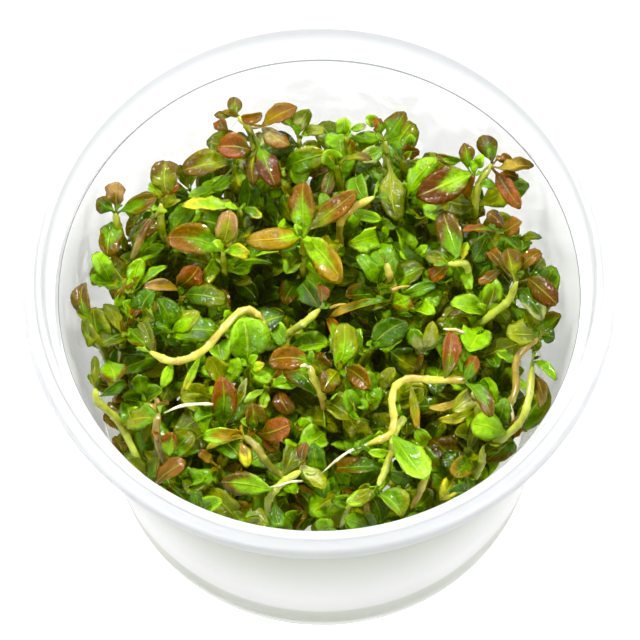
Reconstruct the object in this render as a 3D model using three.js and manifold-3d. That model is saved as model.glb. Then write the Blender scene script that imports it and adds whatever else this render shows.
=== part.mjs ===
import * as THREE from 'three';
import { mergeVertices } from 'three/addons/utils/BufferGeometryUtils.js';
import Module from 'manifold-3d';

// A round plastic culture cup with a bed of clear gel, and in it a dense stand of small
// Ludwigia shoots. Millimetres, +Z up, the table at z = 0 and the cup's axis at x = y = 0.

// Driving dimensions of the cup
const cupHeight = 70;
const rimRadius = 50;
const mouthRadius = 43.9;
const baseRadius = 38.8;
const wall = 1;
const ledgeHeight = 62.7;
const collarRadius = 46.2;
const skirtDrop = 3;
const floorThickness = 1.2;
const cornerRadius = 2;
const cupSides = 36;

// Driving dimensions of the gel and of the plants
const gelHeight = 24;
const clearance = 0.35;
const stemRadius = 0.65;
const stemSides = 5;
const leafThickness = 0.5;

// The photograph's view of the cup: picture points are pixels of a 640-pixel square
const view = {
  middle: 320,
  focal: 3484,
  distance: 600,
  targetHeight: 49.86,
  elevation: THREE.MathUtils.degToRad(66.02),
  roll: THREE.MathUtils.degToRad(-1.69),
};

// Each shoot: its stem as picture points with heights, from below to the tip, and its leaves as
// [blade start x, y, leaf tip x, y, tip height, width, turn about the leaf's own line].
// A rooted stem goes on down to the gel below its first point.
const shoots = [
  {
    rooted: true,
    stem: [[131, 262, 40], [124, 243, 50], [118, 226, 56], [115, 213, 59]],
    leaves: [
      [117, 205, 117, 182, 61, 3.6, 0],
      [112, 210, 97, 199, 60.5, 3.0, 0],
      [121, 211, 158, 196, 61, 3.2, 20],
      [112, 222, 107, 258, 55, 4.0, 0],
    ],
  },
  {
    rooted: true,
    stem: [[170, 262, 38], [166, 243, 47], [161, 225, 55], [161, 203, 58]],
    leaves: [
      [166, 192, 166, 161, 60, 4.8, 0],
      [162, 193, 149, 184, 59, 2.2, 0],
      [165, 195, 179, 183, 57.5, 2.2, 0],
      [163, 208, 177, 198, 56, 2.6, 0],
      [155, 211, 127, 236, 50.8, 3.8, 10],
    ],
  },
  {
    rooted: true,
    stem: [[136, 300, 36], [134, 258, 50], [140, 240, 54], [151, 219, 57]],
    leaves: [
      [143, 230, 145, 259, 50, 2.6, 0],
      [139, 250, 118, 264, 49, 2.4, 0],
    ],
  },
  {
    rooted: true,
    stem: [[142, 330, 36], [136, 305, 46], [131, 291, 51]],
    leaves: [
      [130, 292, 112, 320, 50, 4.4, 0],
      [129, 288, 104, 257, 53, 4.2, 0],
      [134, 287, 141, 258, 54.5, 3.0, 0],
      [118, 286, 98, 264, 49, 2.6, 0],
      [139, 288, 168, 266, 51.5, 1.8, 0],
      [146, 302, 181, 345, 49, 4.2, 0],
    ],
  },
  {
    rooted: true,
    stem: [[190, 340, 32], [184, 315, 43], [181, 297, 50]],
    leaves: [
      [178, 289, 143, 289, 53, 2.2, 15],
      [178, 287, 199, 266, 54, 4.2, 0],
      [184, 298, 203, 316, 47, 4.4, 0],
      [186, 295, 228, 301, 51, 4.2, 10],
      [180, 300, 166, 330, 45, 3.6, 0],
    ],
  },
  {
    rooted: true,
    stem: [[228, 310, 32], [225, 280, 45], [223, 252, 55]],
    leaves: [
      [221, 248, 166, 238, 57, 5.4, 0],
      [222, 246, 230, 210, 58, 4.0, 0],
      [227, 251, 250, 257, 55, 2.4, 0],
      [221, 262, 216, 292, 47, 3.4, 0],
      [226, 262, 252, 269, 50, 3.2, 0],
      [215, 258, 198, 286, 50.5, 2.4, 0],
      [234, 280, 257, 300, 44, 3.4, 0],
    ],
  },
  {
    rooted: true,
    stem: [[243, 245, 40], [242, 225, 48], [239, 209, 54]],
    leaves: [
      [235, 207, 181, 206, 57, 2.8, 15],
      [244, 208, 262, 217, 53, 2.0, 0],
    ],
  },
  {
    rooted: true,
    stem: [[238, 198, 42], [237, 180, 50], [234, 165, 57]],
    leaves: [
      [231, 160, 182, 171, 59, 4.2, 0],
      [231, 178, 212, 190, 54, 2.6, 0],
      [214, 187, 188, 197, 55.5, 1.7, 0],
      [238, 170, 241, 187, 52, 2.0, 0],
    ],
  },
  {
    rooted: true,
    stem: [[259, 190, 42], [257, 160, 51], [252, 137, 57], [246, 124, 60], [238, 116, 61]],
    leaves: [
      [235, 114, 235, 97, 62.5, 2.6, 0],
      [231, 116, 214, 115, 61, 1.6, 0],
      [228, 131, 220, 119, 60.5, 2.2, 0],
      [241, 118, 262, 114, 62, 1.8, 0],
      [251, 150, 217, 147, 60, 4.4, 0],
      [250, 141, 238, 132, 57, 1.6, 0],
      [260, 142, 272, 140, 59, 2.4, 0],
      [258, 148, 254, 186, 57, 3.6, 0],
      [261, 147, 277, 188, 59, 4.0, 0],
      [262, 126, 297, 107, 62.5, 3.4, 0],
      [262, 127, 290, 146, 60, 3.6, 180],
    ],
  },
  {
    rooted: true,
    stem: [[302, 200, 42], [301, 170, 50], [299, 138, 57]],
    leaves: [
      [298, 134, 309, 109, 60, 3.0, 0],
      [303, 133, 325, 132, 58.5, 2.2, 0],
      [296, 130, 272, 117, 59.5, 2.2, 25],
    ],
  },
  {
    rooted: true,
    stem: [[289, 215, 38], [286, 190, 48], [283, 170, 54]],
    leaves: [
      [284, 167, 327, 153, 58, 4.4, 0],
      [294, 160, 300, 186, 52, 3.4, 0],
      [281, 178, 292, 204, 50, 1.6, 0],
      [281, 172, 270, 180, 53, 2.4, 0],
    ],
  },
  {
    rooted: true,
    stem: [[303, 300, 34], [303, 268, 46], [303, 238, 58]],
    leaves: [
      [300, 235, 245, 241, 61, 4.0, 0],
      [304, 231, 303, 182, 62, 4.6, 0],
      [308, 229, 357, 191, 62, 3.8, 0],
      [306, 240, 342, 281, 59, 4.4, 0],
      [299, 241, 279, 252, 55, 3.0, 0],
      [297, 246, 252, 256, 53, 2.6, 0],
    ],
  },
  {
    rooted: true,
    stem: [[341, 262, 44], [340, 240, 52], [341, 222, 57], [352, 209, 59.5], [374, 197, 60]],
    leaves: [
      [338, 246, 344, 255, 52, 1.6, 0],
      [366, 200, 356, 176, 58, 3.6, 0],
      [350, 210, 382, 220, 57, 2.2, 0],
    ],
  },
  {
    rooted: true,
    stem: [[342, 200, 46], [340, 185, 52], [337, 165, 57]],
    leaves: [
      [338, 163, 326, 150, 60, 3.4, 0],
      [350, 158, 353, 140, 61, 2.0, 0],
      [345, 158, 372, 160, 59, 1.8, 0],
      [333, 170, 325, 198, 54, 2.4, 0],
    ],
  },
  {
    rooted: true,
    stem: [[352, 172, 44], [348, 150, 54], [346, 136, 58]],
    leaves: [
      [346, 134, 345, 118, 60.5, 2.8, 0],
      [350, 130, 366, 125, 58, 1.4, 0],
      [352, 138, 380, 138, 57, 2.4, 0],
    ],
  },
  {
    rooted: true,
    stem: [[388, 190, 44], [387, 167, 51], [385, 141, 58]],
    leaves: [
      [388, 139, 405, 112, 61, 3.4, 0],
      [380, 134, 375, 119, 60, 2.4, 0],
      [377, 124, 366, 117, 59, 2.2, 0],
      [383, 150, 360, 160, 56, 3.0, 0],
      [391, 172, 397, 221, 56, 4.8, 0],
    ],
  },
  {
    rooted: true,
    stem: [[405, 185, 46], [404, 172, 52], [404, 160, 57]],
    leaves: [
      [402, 152, 419, 150, 59.5, 2.6, 0],
      [408, 148, 410, 134, 60.5, 2.0, 0],
    ],
  },
  {
    rooted: true,
    stem: [[455, 212, 48], [466, 194, 54], [474, 174, 60]],
    leaves: [
      [470, 173, 416, 197, 60.5, 5.8, 0],
      [468, 168, 464, 143, 62, 2.8, 0],
      [462, 160, 436, 155, 61, 1.6, 0],
      [477, 168, 484, 155, 62.8, 2.0, 0],
    ],
  },
  {
    rooted: true,
    stem: [[396, 262, 36], [400, 236, 45], [406, 198, 54]],
    leaves: [
      [408, 193, 437, 158, 58, 4.0, 0],
      [404, 222, 412, 243, 50, 3.0, 0],
      [412, 200, 430, 207, 53, 2.2, 0],
    ],
  },
  {
    rooted: true,
    stem: [[475, 240, 44], [475, 222, 50], [476, 200, 55], [480, 182, 58], [492, 164, 61]],
    leaves: [
      [493, 158, 481, 136, 62.5, 3.2, 0],
      [497, 160, 513, 160, 62, 1.8, 0],
      [499, 168, 534, 166, 63.8, 2.6, 0],
      [499, 174, 519, 179, 61, 2.0, 0],
      [497, 174, 520, 209, 61, 3.0, 0],
      [496, 186, 480, 184, 59.5, 1.6, 0],
    ],
  },
  {
    rooted: true,
    stem: [[493, 275, 42], [493, 252, 50], [499, 231, 58]],
    leaves: [
      [503, 227, 487, 213, 60, 2.8, 0],
      [495, 231, 461, 231, 58.5, 1.8, 25],
      [505, 235, 522, 222, 60.5, 3.4, 0],
      [520, 239, 542, 238, 59.5, 1.8, 0],
      [508, 237, 521, 250, 57, 2.6, 0],
      [487, 234, 473, 262, 54, 3.4, 0],
    ],
  },
  {
    rooted: true,
    stem: [[465, 337, 44], [479, 325, 49], [492, 314, 52], [508, 301, 55], [517, 281, 59]],
    leaves: [
      [514, 277, 507, 248, 61, 3.6, 0],
      [521, 268, 541, 252, 60.5, 2.6, 0],
      [529, 279, 557, 304, 60, 3.8, 0],
      [520, 288, 543, 320, 56, 3.4, 0],
      [499, 270, 478, 284, 56, 2.2, 0],
      [503, 268, 488, 252, 57, 2.2, 0],
    ],
  },
  {
    rooted: true,
    stem: [[470, 310, 40], [469, 285, 48], [465, 264, 54], [448, 264, 56]],
    leaves: [
      [458, 256, 443, 212, 58.5, 4.4, 0],
      [463, 258, 467, 242, 57, 1.8, 0],
      [470, 266, 471, 292, 51, 2.0, 0],
      [446, 266, 430, 280, 53, 2.8, 0],
      [446, 262, 425, 256, 56, 2.4, 0],
    ],
  },
  {
    rooted: true,
    stem: [[494, 355, 36], [491, 335, 44], [488, 313, 50]],
    leaves: [
      [487, 311, 450, 304, 52.5, 3.6, 0],
      [483, 314, 447, 317, 49, 1.8, 0],
    ],
  },
  {
    rooted: true,
    stem: [[397, 302, 48], [393, 287, 54], [389, 273, 58], [386, 263, 60]],
    leaves: [
      [390, 300, 329, 317, 53, 1.7, 15],
      [399, 301, 420, 329, 51, 3.8, 0],
      [400, 296, 436, 284, 53, 2.2, 10],
    ],
  },
  {
    rooted: true,
    stem: [[383, 290, 38], [382, 265, 46], [384, 242, 52]],
    leaves: [
      [386, 238, 384, 226, 54.5, 1.4, 0],
      [378, 236, 348, 244, 56, 4.0, 0],
      [378, 248, 372, 271, 53, 3.4, 0],
      [390, 243, 420, 275, 50, 4.2, 0],
    ],
  },
  {
    rooted: true,
    stem: [[413, 385, 40], [418, 368, 47], [422, 353, 51]],
    leaves: [
      [423, 350, 433, 321, 56, 2.6, 15],
      [420, 350, 411, 329, 55.5, 2.8, 0],
      [425, 350, 443, 336, 50, 3.2, 0],
    ],
  },
  {
    rooted: true,
    stem: [[247, 405, 36], [247, 385, 46], [248, 366, 54]],
    leaves: [
      [247, 361, 243, 317, 59.5, 7.2, 0],
      [245, 370, 217, 366, 55, 2.8, 0],
      [251, 367, 265, 364, 56, 1.8, 0],
      [252, 372, 272, 381, 54, 2.4, 0],
    ],
  },
  {
    rooted: true,
    stem: [[281, 362, 46], [285, 344, 51], [291, 332, 54], [305, 322, 56], [320, 309, 57]],
    leaves: [
      [283, 345, 272, 324, 53, 3.2, 0],
      [318, 306, 302, 283, 56, 3.6, 0],
      [322, 304, 320, 284, 57, 2.2, 0],
    ],
  },
  {
    rooted: true,
    stem: [[328, 434, 42], [325, 416, 47], [321, 393, 53], [313, 377, 56], [310, 366, 58]],
    leaves: [
      [308, 361, 269, 361, 60.5, 4.2, 0],
      [308, 373, 292, 370, 56, 1.8, 0],
      [325, 432, 301, 446, 51, 4.6, 0],
    ],
  },
  {
    rooted: true,
    stem: [[262, 420, 38], [264, 403, 46], [268, 388, 52]],
    leaves: [
      [270, 382, 289, 355, 57, 1.2, 40],
      [279, 391, 291, 416, 51, 3.6, 0],
      [267, 391, 262, 409, 51, 1.8, 0],
      [264, 389, 243, 404, 53, 1.4, 0],
    ],
  },
  {
    rooted: true,
    stem: [[345, 420, 38], [343, 395, 47], [341, 371, 55]],
    leaves: [
      [339, 366, 344, 323, 60, 4.4, 0],
      [338, 371, 322, 392, 56, 4.0, 0],
      [346, 368, 370, 388, 56, 3.6, 0],
      [347, 378, 367, 410, 54, 3.4, 0],
      [336, 356, 328, 318, 53, 2.0, 0],
    ],
  },
  {
    rooted: true,
    stem: [[357, 385, 40], [363, 363, 48], [370, 350, 53]],
    leaves: [
      [372, 347, 407, 322, 57, 4.6, 0],
      [362, 350, 359, 328, 51, 1.6, 0],
    ],
  },
  {
    rooted: false,
    stem: [
      [466, 380, 57], [434, 380, 58.5], [408, 379, 59], [396, 386, 59], [392, 402, 58.5],
      [394, 420, 58], [390, 434, 57.5], [368, 444, 56.5],
    ],
    leaves: [
      [440, 376, 444, 330, 61, 3.4, 0],
      [466, 380, 476, 356, 60.5, 2.8, 0],
      [468, 384, 491, 417, 58, 2.6, 0],
      [411, 384, 417, 430, 57, 1.7, 0],
      [395, 437, 427, 480, 60, 5.0, 0],
    ],
  },
  {
    rooted: false,
    stem: [[404, 418, 53], [395, 432, 53.5], [390, 453, 55], [385, 471, 56], [378, 486, 57]],
    leaves: [
      [374, 489, 346, 504, 57.5, 2.8, 0],
      [378, 494, 402, 517, 57, 4.0, 0],
      [387, 472, 411, 479, 54, 2.2, 0],
      [385, 466, 334, 469, 52, 3.2, 0],
      [389, 452, 368, 452, 57, 1.6, 0],
    ],
  },
  {
    rooted: false,
    stem: [[509, 406, 52], [516, 388, 54], [516, 361, 56], [527, 346, 57.5], [538, 338, 58]],
    leaves: [
      [535, 335, 506, 334, 60, 4.4, 0],
      [541, 335, 555, 338, 57.5, 2.6, 0],
      [514, 362, 496, 352, 57, 2.0, 0],
    ],
  },
  {
    rooted: false,
    stem: [
      [474, 478, 47], [481, 465, 48], [484, 451, 50], [504, 437, 52.5], [520, 422, 54],
      [528, 402, 55], [533, 360, 55],
    ],
    leaves: [
      [534, 362, 556, 380, 58, 1.6, 0],
      [534, 375, 541, 407, 51, 2.6, 0],
      [524, 414, 515, 437, 51, 2.2, 0],
      [503, 433, 471, 423, 56, 5.0, 0],
      [500, 445, 486, 454, 51, 2.4, 0],
    ],
  },
  {
    rooted: true,
    stem: [[472, 480, 38], [470, 468, 44], [470, 458, 49]],
    leaves: [
      [468, 459, 453, 477, 51, 3.6, 0],
      [468, 450, 475, 418, 51, 2.0, 0],
      [462, 462, 440, 460, 47, 3.4, 0],
      [452, 482, 440, 500, 52, 3.4, 0],
    ],
  },
  {
    rooted: false,
    stem: [[270, 518, 50], [268, 503, 54], [275, 490, 57], [286, 480, 58], [301, 471, 59]],
    leaves: [
      [270, 489, 221, 482, 60, 3.8, 0],
      [275, 505, 280, 527, 55, 3.0, 0],
      [302, 465, 324, 489, 61, 2.8, 180],
      [284, 474, 296, 447, 58, 3.6, 0],
      [302, 462, 306, 442, 60, 2.0, 0],
    ],
  },
  {
    rooted: false,
    stem: [[285, 477, 53], [275, 471, 54], [265, 460, 55.5], [256, 446, 57], [244, 436, 58]],
    leaves: [
      [241, 433, 203, 437, 58.5, 2.4, 0],
      [239, 438, 206, 449, 56, 1.5, 0],
      [240, 443, 247, 468, 57, 2.4, 0],
    ],
  },
  {
    rooted: true,
    stem: [[224, 488, 40], [221, 476, 47], [218, 466, 52]],
    leaves: [
      [214, 470, 187, 494, 55, 4.6, 0],
      [212, 462, 199, 451, 53, 1.8, 0],
      [222, 470, 232, 500, 46, 4.0, 0],
    ],
  },
  {
    rooted: true,
    stem: [[167, 474, 42], [165, 460, 50], [159, 446, 54], [156, 428, 57], [159, 413, 58]],
    leaves: [
      [168, 456, 172, 432, 58, 3.2, 0],
      [162, 470, 186, 463, 57, 2.4, 180],
      [167, 474, 171, 488, 52, 2.8, 0],
      [158, 442, 152, 431, 57.5, 1.4, 0],
    ],
  },
  {
    rooted: true,
    stem: [[141, 462, 46], [124, 431, 50], [114, 416, 53], [97, 400, 57], [95, 388, 58]],
    leaves: [
      [95, 384, 95, 356, 59.5, 1.6, 0],
      [101, 396, 125, 381, 57, 1.8, 0],
      [128, 440, 118, 442, 48, 3.0, 0],
    ],
  },
  {
    rooted: true,
    stem: [[144, 445, 38], [142, 435, 44], [140, 427, 49]],
    leaves: [
      [139, 424, 128, 408, 53, 3.2, 0],
      [136, 426, 108, 402, 47, 3.2, 180],
      [146, 424, 148, 402, 50, 2.4, 0],
    ],
  },
  {
    rooted: false,
    stem: [
      [263, 326, 56.5], [259, 317, 58], [250, 310, 59], [240, 312, 59.5], [222, 330, 60],
      [205, 349, 60], [187, 359, 60], [170, 361, 59.5], [150, 352, 58.5],
    ],
    leaves: [
      [172, 362, 162, 388, 57, 2.0, 0],
      [152, 352, 141, 321, 58, 2.0, 20],
      [200, 356, 184, 391, 56, 1.4, 0],
    ],
  },
  {
    rooted: true,
    stem: [[122, 372, 40], [122, 350, 48], [124, 333, 54]],
    leaves: [
      [128, 329, 155, 351, 57, 3.8, 0],
      [127, 326, 142, 303, 56, 1.6, 0],
      [120, 330, 104, 304, 55, 3.0, 0],
    ],
  },
  {
    rooted: true,
    stem: [[112, 375, 46], [104, 352, 52], [95, 337, 56], [88, 323, 58]],
    leaves: [
      [88, 316, 84, 283, 60.5, 3.2, 0],
      [92, 332, 88, 347, 56, 1.8, 0],
    ],
  },
  {
    rooted: true,
    stem: [[224, 452, 40], [222, 440, 47], [221, 429, 51]],
    leaves: [
      [221, 422, 222, 376, 60, 4.6, 0],
      [208, 432, 190, 406, 56, 5.0, 0],
      [234, 410, 247, 378, 57, 1.6, 0],
    ],
  },
  {
    rooted: true,
    stem: [[257, 448, 42], [255, 438, 48], [253, 429, 53]],
    leaves: [
      [252, 425, 252, 403, 57, 3.4, 0],
      [250, 428, 240, 421, 55, 1.8, 0],
      [262, 434, 291, 424, 56, 4.2, 0],
      [262, 438, 279, 450, 53, 3.0, 0],
    ],
  },
  {
    rooted: true,
    stem: [[482, 432, 42], [479, 418, 50], [477, 404, 54]],
    leaves: [
      [474, 402, 452, 412, 57, 3.4, 0],
      [462, 398, 429, 408, 58.5, 1.4, 0],
      [472, 412, 438, 420, 52, 1.8, 0],
    ],
  },
];

// Picture point to millimetres, at a given height above the table
const backward = new THREE.Vector3(0, -Math.cos(view.elevation), Math.sin(view.elevation));
const eye = new THREE.Vector3(0, 0, view.targetHeight).addScaledVector(backward, view.distance);
const pictureRight = new THREE.Vector3(1, 0, 0).applyAxisAngle(backward, view.roll);
const pictureUp = new THREE.Vector3().crossVectors(backward, pictureRight);

function fromPicture(pixelX, pixelY, height) {
  const ray = backward.clone().multiplyScalar(-view.focal);
  ray.addScaledVector(pictureRight, pixelX - view.middle);
  ray.addScaledVector(pictureUp, view.middle - pixelY);
  return eye.clone().addScaledVector(ray, (height - eye.z) / ray.z);
}

// Solids that are joined and cut
const wasm = await Module();
wasm.setup();

function solidOf(geometry) {
  const bare = geometry.index ? geometry.toNonIndexed() : geometry.clone();
  bare.deleteAttribute('normal');
  bare.deleteAttribute('uv');
  const merged = mergeVertices(bare, 1e-4);
  return new wasm.Manifold(new wasm.Mesh({
    numProp: 3,
    vertProperties: new Float32Array(merged.attributes.position.array),
    triVerts: new Uint32Array(merged.index.array),
  }));
}

function geometryOf(solid) {
  const { vertProperties, triVerts } = solid.getMesh();
  const geometry = new THREE.BufferGeometry();
  geometry.setAttribute('position', new THREE.Float32BufferAttribute(vertProperties, 3));
  geometry.setIndex(Array.from(triVerts));
  geometry.computeVertexNormals();
  return geometry;
}

// The cup: a tapered wall, a step for the lid, a collar, a flat rim and a short skirt
function innerRadius(height) {
  const share = (height - floorThickness) / (ledgeHeight - floorThickness);
  return THREE.MathUtils.lerp(baseRadius - wall, mouthRadius, share);
}

function cupGeometry() {
  const innerBase = baseRadius - wall;
  const outline = [
    [0, 0],
    [baseRadius - cornerRadius, 0],
    [baseRadius - 0.6, 0.6],
    [baseRadius, cornerRadius],
    [mouthRadius + wall, ledgeHeight - 2.4],
    [collarRadius + 0.6, ledgeHeight - 1.2],
    [collarRadius + wall, cupHeight - 1.3],
    [rimRadius - 0.9, cupHeight - 1.3],
    [rimRadius - 0.8, cupHeight - skirtDrop],
    [rimRadius, cupHeight - skirtDrop],
    [rimRadius - 0.1, cupHeight - 1.2],
    [rimRadius - 0.8, cupHeight - 0.4],
    [collarRadius + 1.4, cupHeight - 0.4],
    [collarRadius + 0.9, cupHeight],
    [collarRadius, cupHeight],
    [mouthRadius + 1.6, ledgeHeight - 0.7],
    [mouthRadius, ledgeHeight],
    [innerBase, floorThickness + 1],
    [innerBase - 1, floorThickness],
    [0, floorThickness],
  ];
  const points = outline.map(([radius, height]) => new THREE.Vector2(radius, height));
  return new THREE.LatheGeometry(points, cupSides).rotateX(Math.PI / 2);
}

// The gel fills the cup's bottom and creeps a little up the wall
function gelGeometry() {
  const innerBase = baseRadius - wall;
  const outline = [
    [0, floorThickness + clearance],
    [innerBase - 1.2, floorThickness + clearance],
    [innerBase - clearance, floorThickness + 1.2],
    [innerRadius(gelHeight + 1) - clearance, gelHeight + 1],
    [innerRadius(gelHeight) - 2.5, gelHeight],
    [0, gelHeight],
  ];
  const points = outline.map(([radius, height]) => new THREE.Vector2(radius, height));
  return new THREE.LatheGeometry(points, cupSides).rotateX(Math.PI / 2);
}

// A stem: a thin tube along a smooth curve, standing on the gel where it is rooted
function stemCurve({ rooted, stem }) {
  const points = stem.map(([x, y, height]) => fromPicture(x, y, height));
  if (rooted) {
    const foot = points[0].clone().multiplyScalar(0.8);
    foot.z = gelHeight + clearance;
    points.unshift(foot);
  }
  return new THREE.CatmullRomCurve3(points, false, 'centripetal');
}

function stemSolid(curve) {
  const section = new THREE.Shape();
  for (let i = 0; i < stemSides; i += 1) {
    const angle = (2 * Math.PI * i) / stemSides;
    const corner = [stemRadius * Math.cos(angle), stemRadius * Math.sin(angle)];
    if (i === 0) section.moveTo(...corner);
    else section.lineTo(...corner);
  }
  section.closePath();
  return solidOf(new THREE.ExtrudeGeometry(section, {
    extrudePath: curve,
    steps: curve.points.length - 1,
    bevelEnabled: false,
  }));
}

// The point inside a stem that is nearest to a target, short of the stem's two ends
function nearestInStem(curve, target) {
  const bends = curve.getSpacedPoints(curve.points.length - 1);
  const line = new THREE.CurvePath();
  for (let i = 1; i < bends.length; i += 1) {
    line.add(new THREE.LineCurve3(bends[i - 1], bends[i]));
  }
  const points = line.getSpacedPoints(60).slice(1, -1);
  points.sort((a, b) => a.distanceTo(target) - b.distanceTo(target));
  return points[0];
}

// A leaf: a thin lens, widest past its middle, that starts in the stem and bends down to its tip
const leafCorners = [
  [0, 5, 6], [5, 4, 7], [5, 7, 6], [4, 3, 7], [3, 2, 7], [2, 1, 6], [2, 6, 7], [1, 0, 6],
  [5, 0, 8], [4, 5, 9], [9, 5, 8], [3, 4, 9], [2, 3, 9], [1, 2, 8], [8, 2, 9], [0, 1, 8],
];

function leafPoints(leaf, curve) {
  const [startX, startY, tipX, tipY, tipHeight, width, turn] = leaf;
  const tip = fromPicture(tipX, tipY, tipHeight);
  const root = nearestInStem(curve, fromPicture(startX, startY, tipHeight));
  const line = tip.clone().sub(root);
  const length = line.length();
  line.normalize();
  const facing = backward.clone().add(new THREE.Vector3(0, 0, 1));
  facing.addScaledVector(line, -facing.dot(line)).normalize();
  facing.applyAxisAngle(line, THREE.MathUtils.degToRad(turn));
  const side = new THREE.Vector3().crossVectors(facing, line);
  const start = fromPicture(startX, startY, THREE.MathUtils.lerp(root.z, tip.z, 0.2));
  const stalk = Math.min(start.distanceTo(root) / length, 0.5);
  const at = (share, across, above) => root.clone()
    .addScaledVector(line, length * share)
    .addScaledVector(side, across)
    .addScaledVector(facing, above + 0.25 * length * share * (1 - share));
  const first = THREE.MathUtils.lerp(stalk, 1, 0.3);
  const second = THREE.MathUtils.lerp(stalk, 1, 0.72);
  const half = width / 2;
  const thick = leafThickness / 2;
  return [
    root,
    at(first, 0.9 * half, 0),
    at(second, 0.88 * half, 0),
    tip,
    at(second, -0.88 * half, 0),
    at(first, -0.9 * half, 0),
    at(first, 0, thick),
    at(second, 0, thick),
    at(first, 0, -thick),
    at(second, 0, -thick),
  ];
}

function leafSolid(points) {
  const geometry = new THREE.BufferGeometry();
  geometry.setAttribute('position', new THREE.Float32BufferAttribute(
    points.flatMap((point) => point.toArray()),
    3,
  ));
  geometry.setIndex(leafCorners.flat());
  return solidOf(geometry);
}

function shootGeometry(shoot) {
  const curve = stemCurve(shoot);
  const leaves = shoot.leaves.map((leaf) => leafSolid(leafPoints(leaf, curve)));
  return geometryOf(wasm.Manifold.union([stemSolid(curve), ...leaves]));
}

// The assembly
const assembly = new THREE.Group();

function addPiece(name, geometry, material) {
  const mesh = new THREE.Mesh(geometry, material);
  mesh.name = name;
  assembly.add(mesh);
}

const plastic = { color: 0xe9edee, roughness: 0.25, metalness: 0 };
const gelLook = { color: 0xe4e6da, roughness: 0.2, metalness: 0 };
const plantLook = { color: 0x6f9c1c, roughness: 0.35, metalness: 0 };

addPiece('cup', cupGeometry(), new THREE.MeshStandardMaterial(plastic));
addPiece('culture_gel', gelGeometry(), new THREE.MeshStandardMaterial(gelLook));
shoots.forEach((shoot, index) => {
  const name = `shoot_${String(index + 1).padStart(2, '0')}`;
  addPiece(name, shootGeometry(shoot), new THREE.MeshStandardMaterial(plantLook));
});

export default assembly;
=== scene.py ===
import math
import random

import bpy
import numpy as np
from mathutils import Matrix, Quaternion, Vector


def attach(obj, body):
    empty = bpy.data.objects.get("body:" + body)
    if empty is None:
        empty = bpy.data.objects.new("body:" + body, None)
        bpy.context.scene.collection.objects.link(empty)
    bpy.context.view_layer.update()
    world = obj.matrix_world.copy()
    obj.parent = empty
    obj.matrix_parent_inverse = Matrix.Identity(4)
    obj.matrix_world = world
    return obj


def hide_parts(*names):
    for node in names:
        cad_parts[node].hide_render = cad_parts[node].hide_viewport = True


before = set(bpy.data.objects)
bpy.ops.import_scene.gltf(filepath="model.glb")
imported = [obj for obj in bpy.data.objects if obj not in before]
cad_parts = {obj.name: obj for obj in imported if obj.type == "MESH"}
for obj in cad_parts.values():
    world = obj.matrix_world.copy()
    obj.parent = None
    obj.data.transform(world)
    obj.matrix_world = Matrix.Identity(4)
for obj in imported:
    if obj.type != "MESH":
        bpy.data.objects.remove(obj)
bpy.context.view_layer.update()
print("frame loaded with", len(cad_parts), "nodes")

mm = 0.001
upward = Vector((0, 0, 1))


# Small helpers

def linearColour(hexText, alpha=1.0):
    parts = [int(hexText[i:i + 2], 16) / 255 for i in (1, 3, 5)]
    parts = [p / 12.92 if p <= 0.04045 else ((p + 0.055) / 1.055) ** 2.4 for p in parts]
    return (*parts, alpha)


def setInputs(tree, node, inputs):
    # a node given as a value stands for its first live output
    for socket, value in inputs.items():
        if isinstance(value, bpy.types.Node):
            value = next(output for output in value.outputs if output.enabled)
        if isinstance(value, bpy.types.NodeSocket):
            tree.links.new(value, node.inputs[socket])
        else:
            node.inputs[socket].default_value = value


def addNode(tree, kind, inputs=None, **settings):
    node = tree.nodes.new("ShaderNode" + kind)
    for name, value in settings.items():
        setattr(node, name, value)
    setInputs(tree, node, inputs or {})
    return node


def newMaterial(name):
    material = bpy.data.materials.new(name)
    material.use_nodes = True
    return material, material.node_tree, material.node_tree.nodes["Principled BSDF"]


def deselectAll():
    bpy.ops.object.select_all(action="DESELECT")


def pick(*pieces):
    deselectAll()
    for piece in pieces:
        piece.select_set(True)
    bpy.context.view_layer.objects.active = pieces[0]


def settle(piece):
    # place, turn and size go into the mesh, as on a CAD node
    pick(piece)
    bpy.ops.object.transform_apply(location=True, rotation=True, scale=True)


# The camera of the photograph; picture points are pixels of a 640-pixel square

photoView = {
    "middle": 320,
    "focal": 3484,
    "distance": 600 * mm,
    "targetHeight": 49.86 * mm,
    "elevation": math.radians(66.02),
    "roll": math.radians(-1.69),
    "sensor": 36,
    "clipStart": 0.01,
}

backward = Vector((0, -math.cos(photoView["elevation"]), math.sin(photoView["elevation"])))
eye = Vector((0, 0, photoView["targetHeight"])) + backward * photoView["distance"]
pictureRight = Quaternion(backward, photoView["roll"]) @ Vector((1, 0, 0))
pictureUp = backward.cross(pictureRight)


def fromPicture(pixelX, pixelY, height):
    ray = backward * -photoView["focal"]
    ray += pictureRight * (pixelX - photoView["middle"])
    ray += pictureUp * (photoView["middle"] - pixelY)
    return eye + ray * ((height * mm - eye.z) / ray.z)


def toPicture(point):
    away = point - eye
    depth = -away.dot(backward) / photoView["focal"]
    middle = photoView["middle"]
    return middle + away.dot(pictureRight) / depth, middle - away.dot(pictureUp) / depth


cameraData = bpy.data.cameras.new("photoCamera")
cameraData.sensor_width = photoView["sensor"]
cameraData.lens = photoView["focal"] / (2 * photoView["middle"]) * photoView["sensor"]
cameraData.clip_start = photoView["clipStart"]
camera = bpy.data.objects.new("photoCamera", cameraData)
bpy.context.scene.collection.objects.link(camera)
axes = Matrix((pictureRight, pictureUp, backward)).transposed().to_4x4()
camera.matrix_world = Matrix.Translation(eye) @ axes
bpy.context.scene.camera = camera


# Floor and studio light

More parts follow.
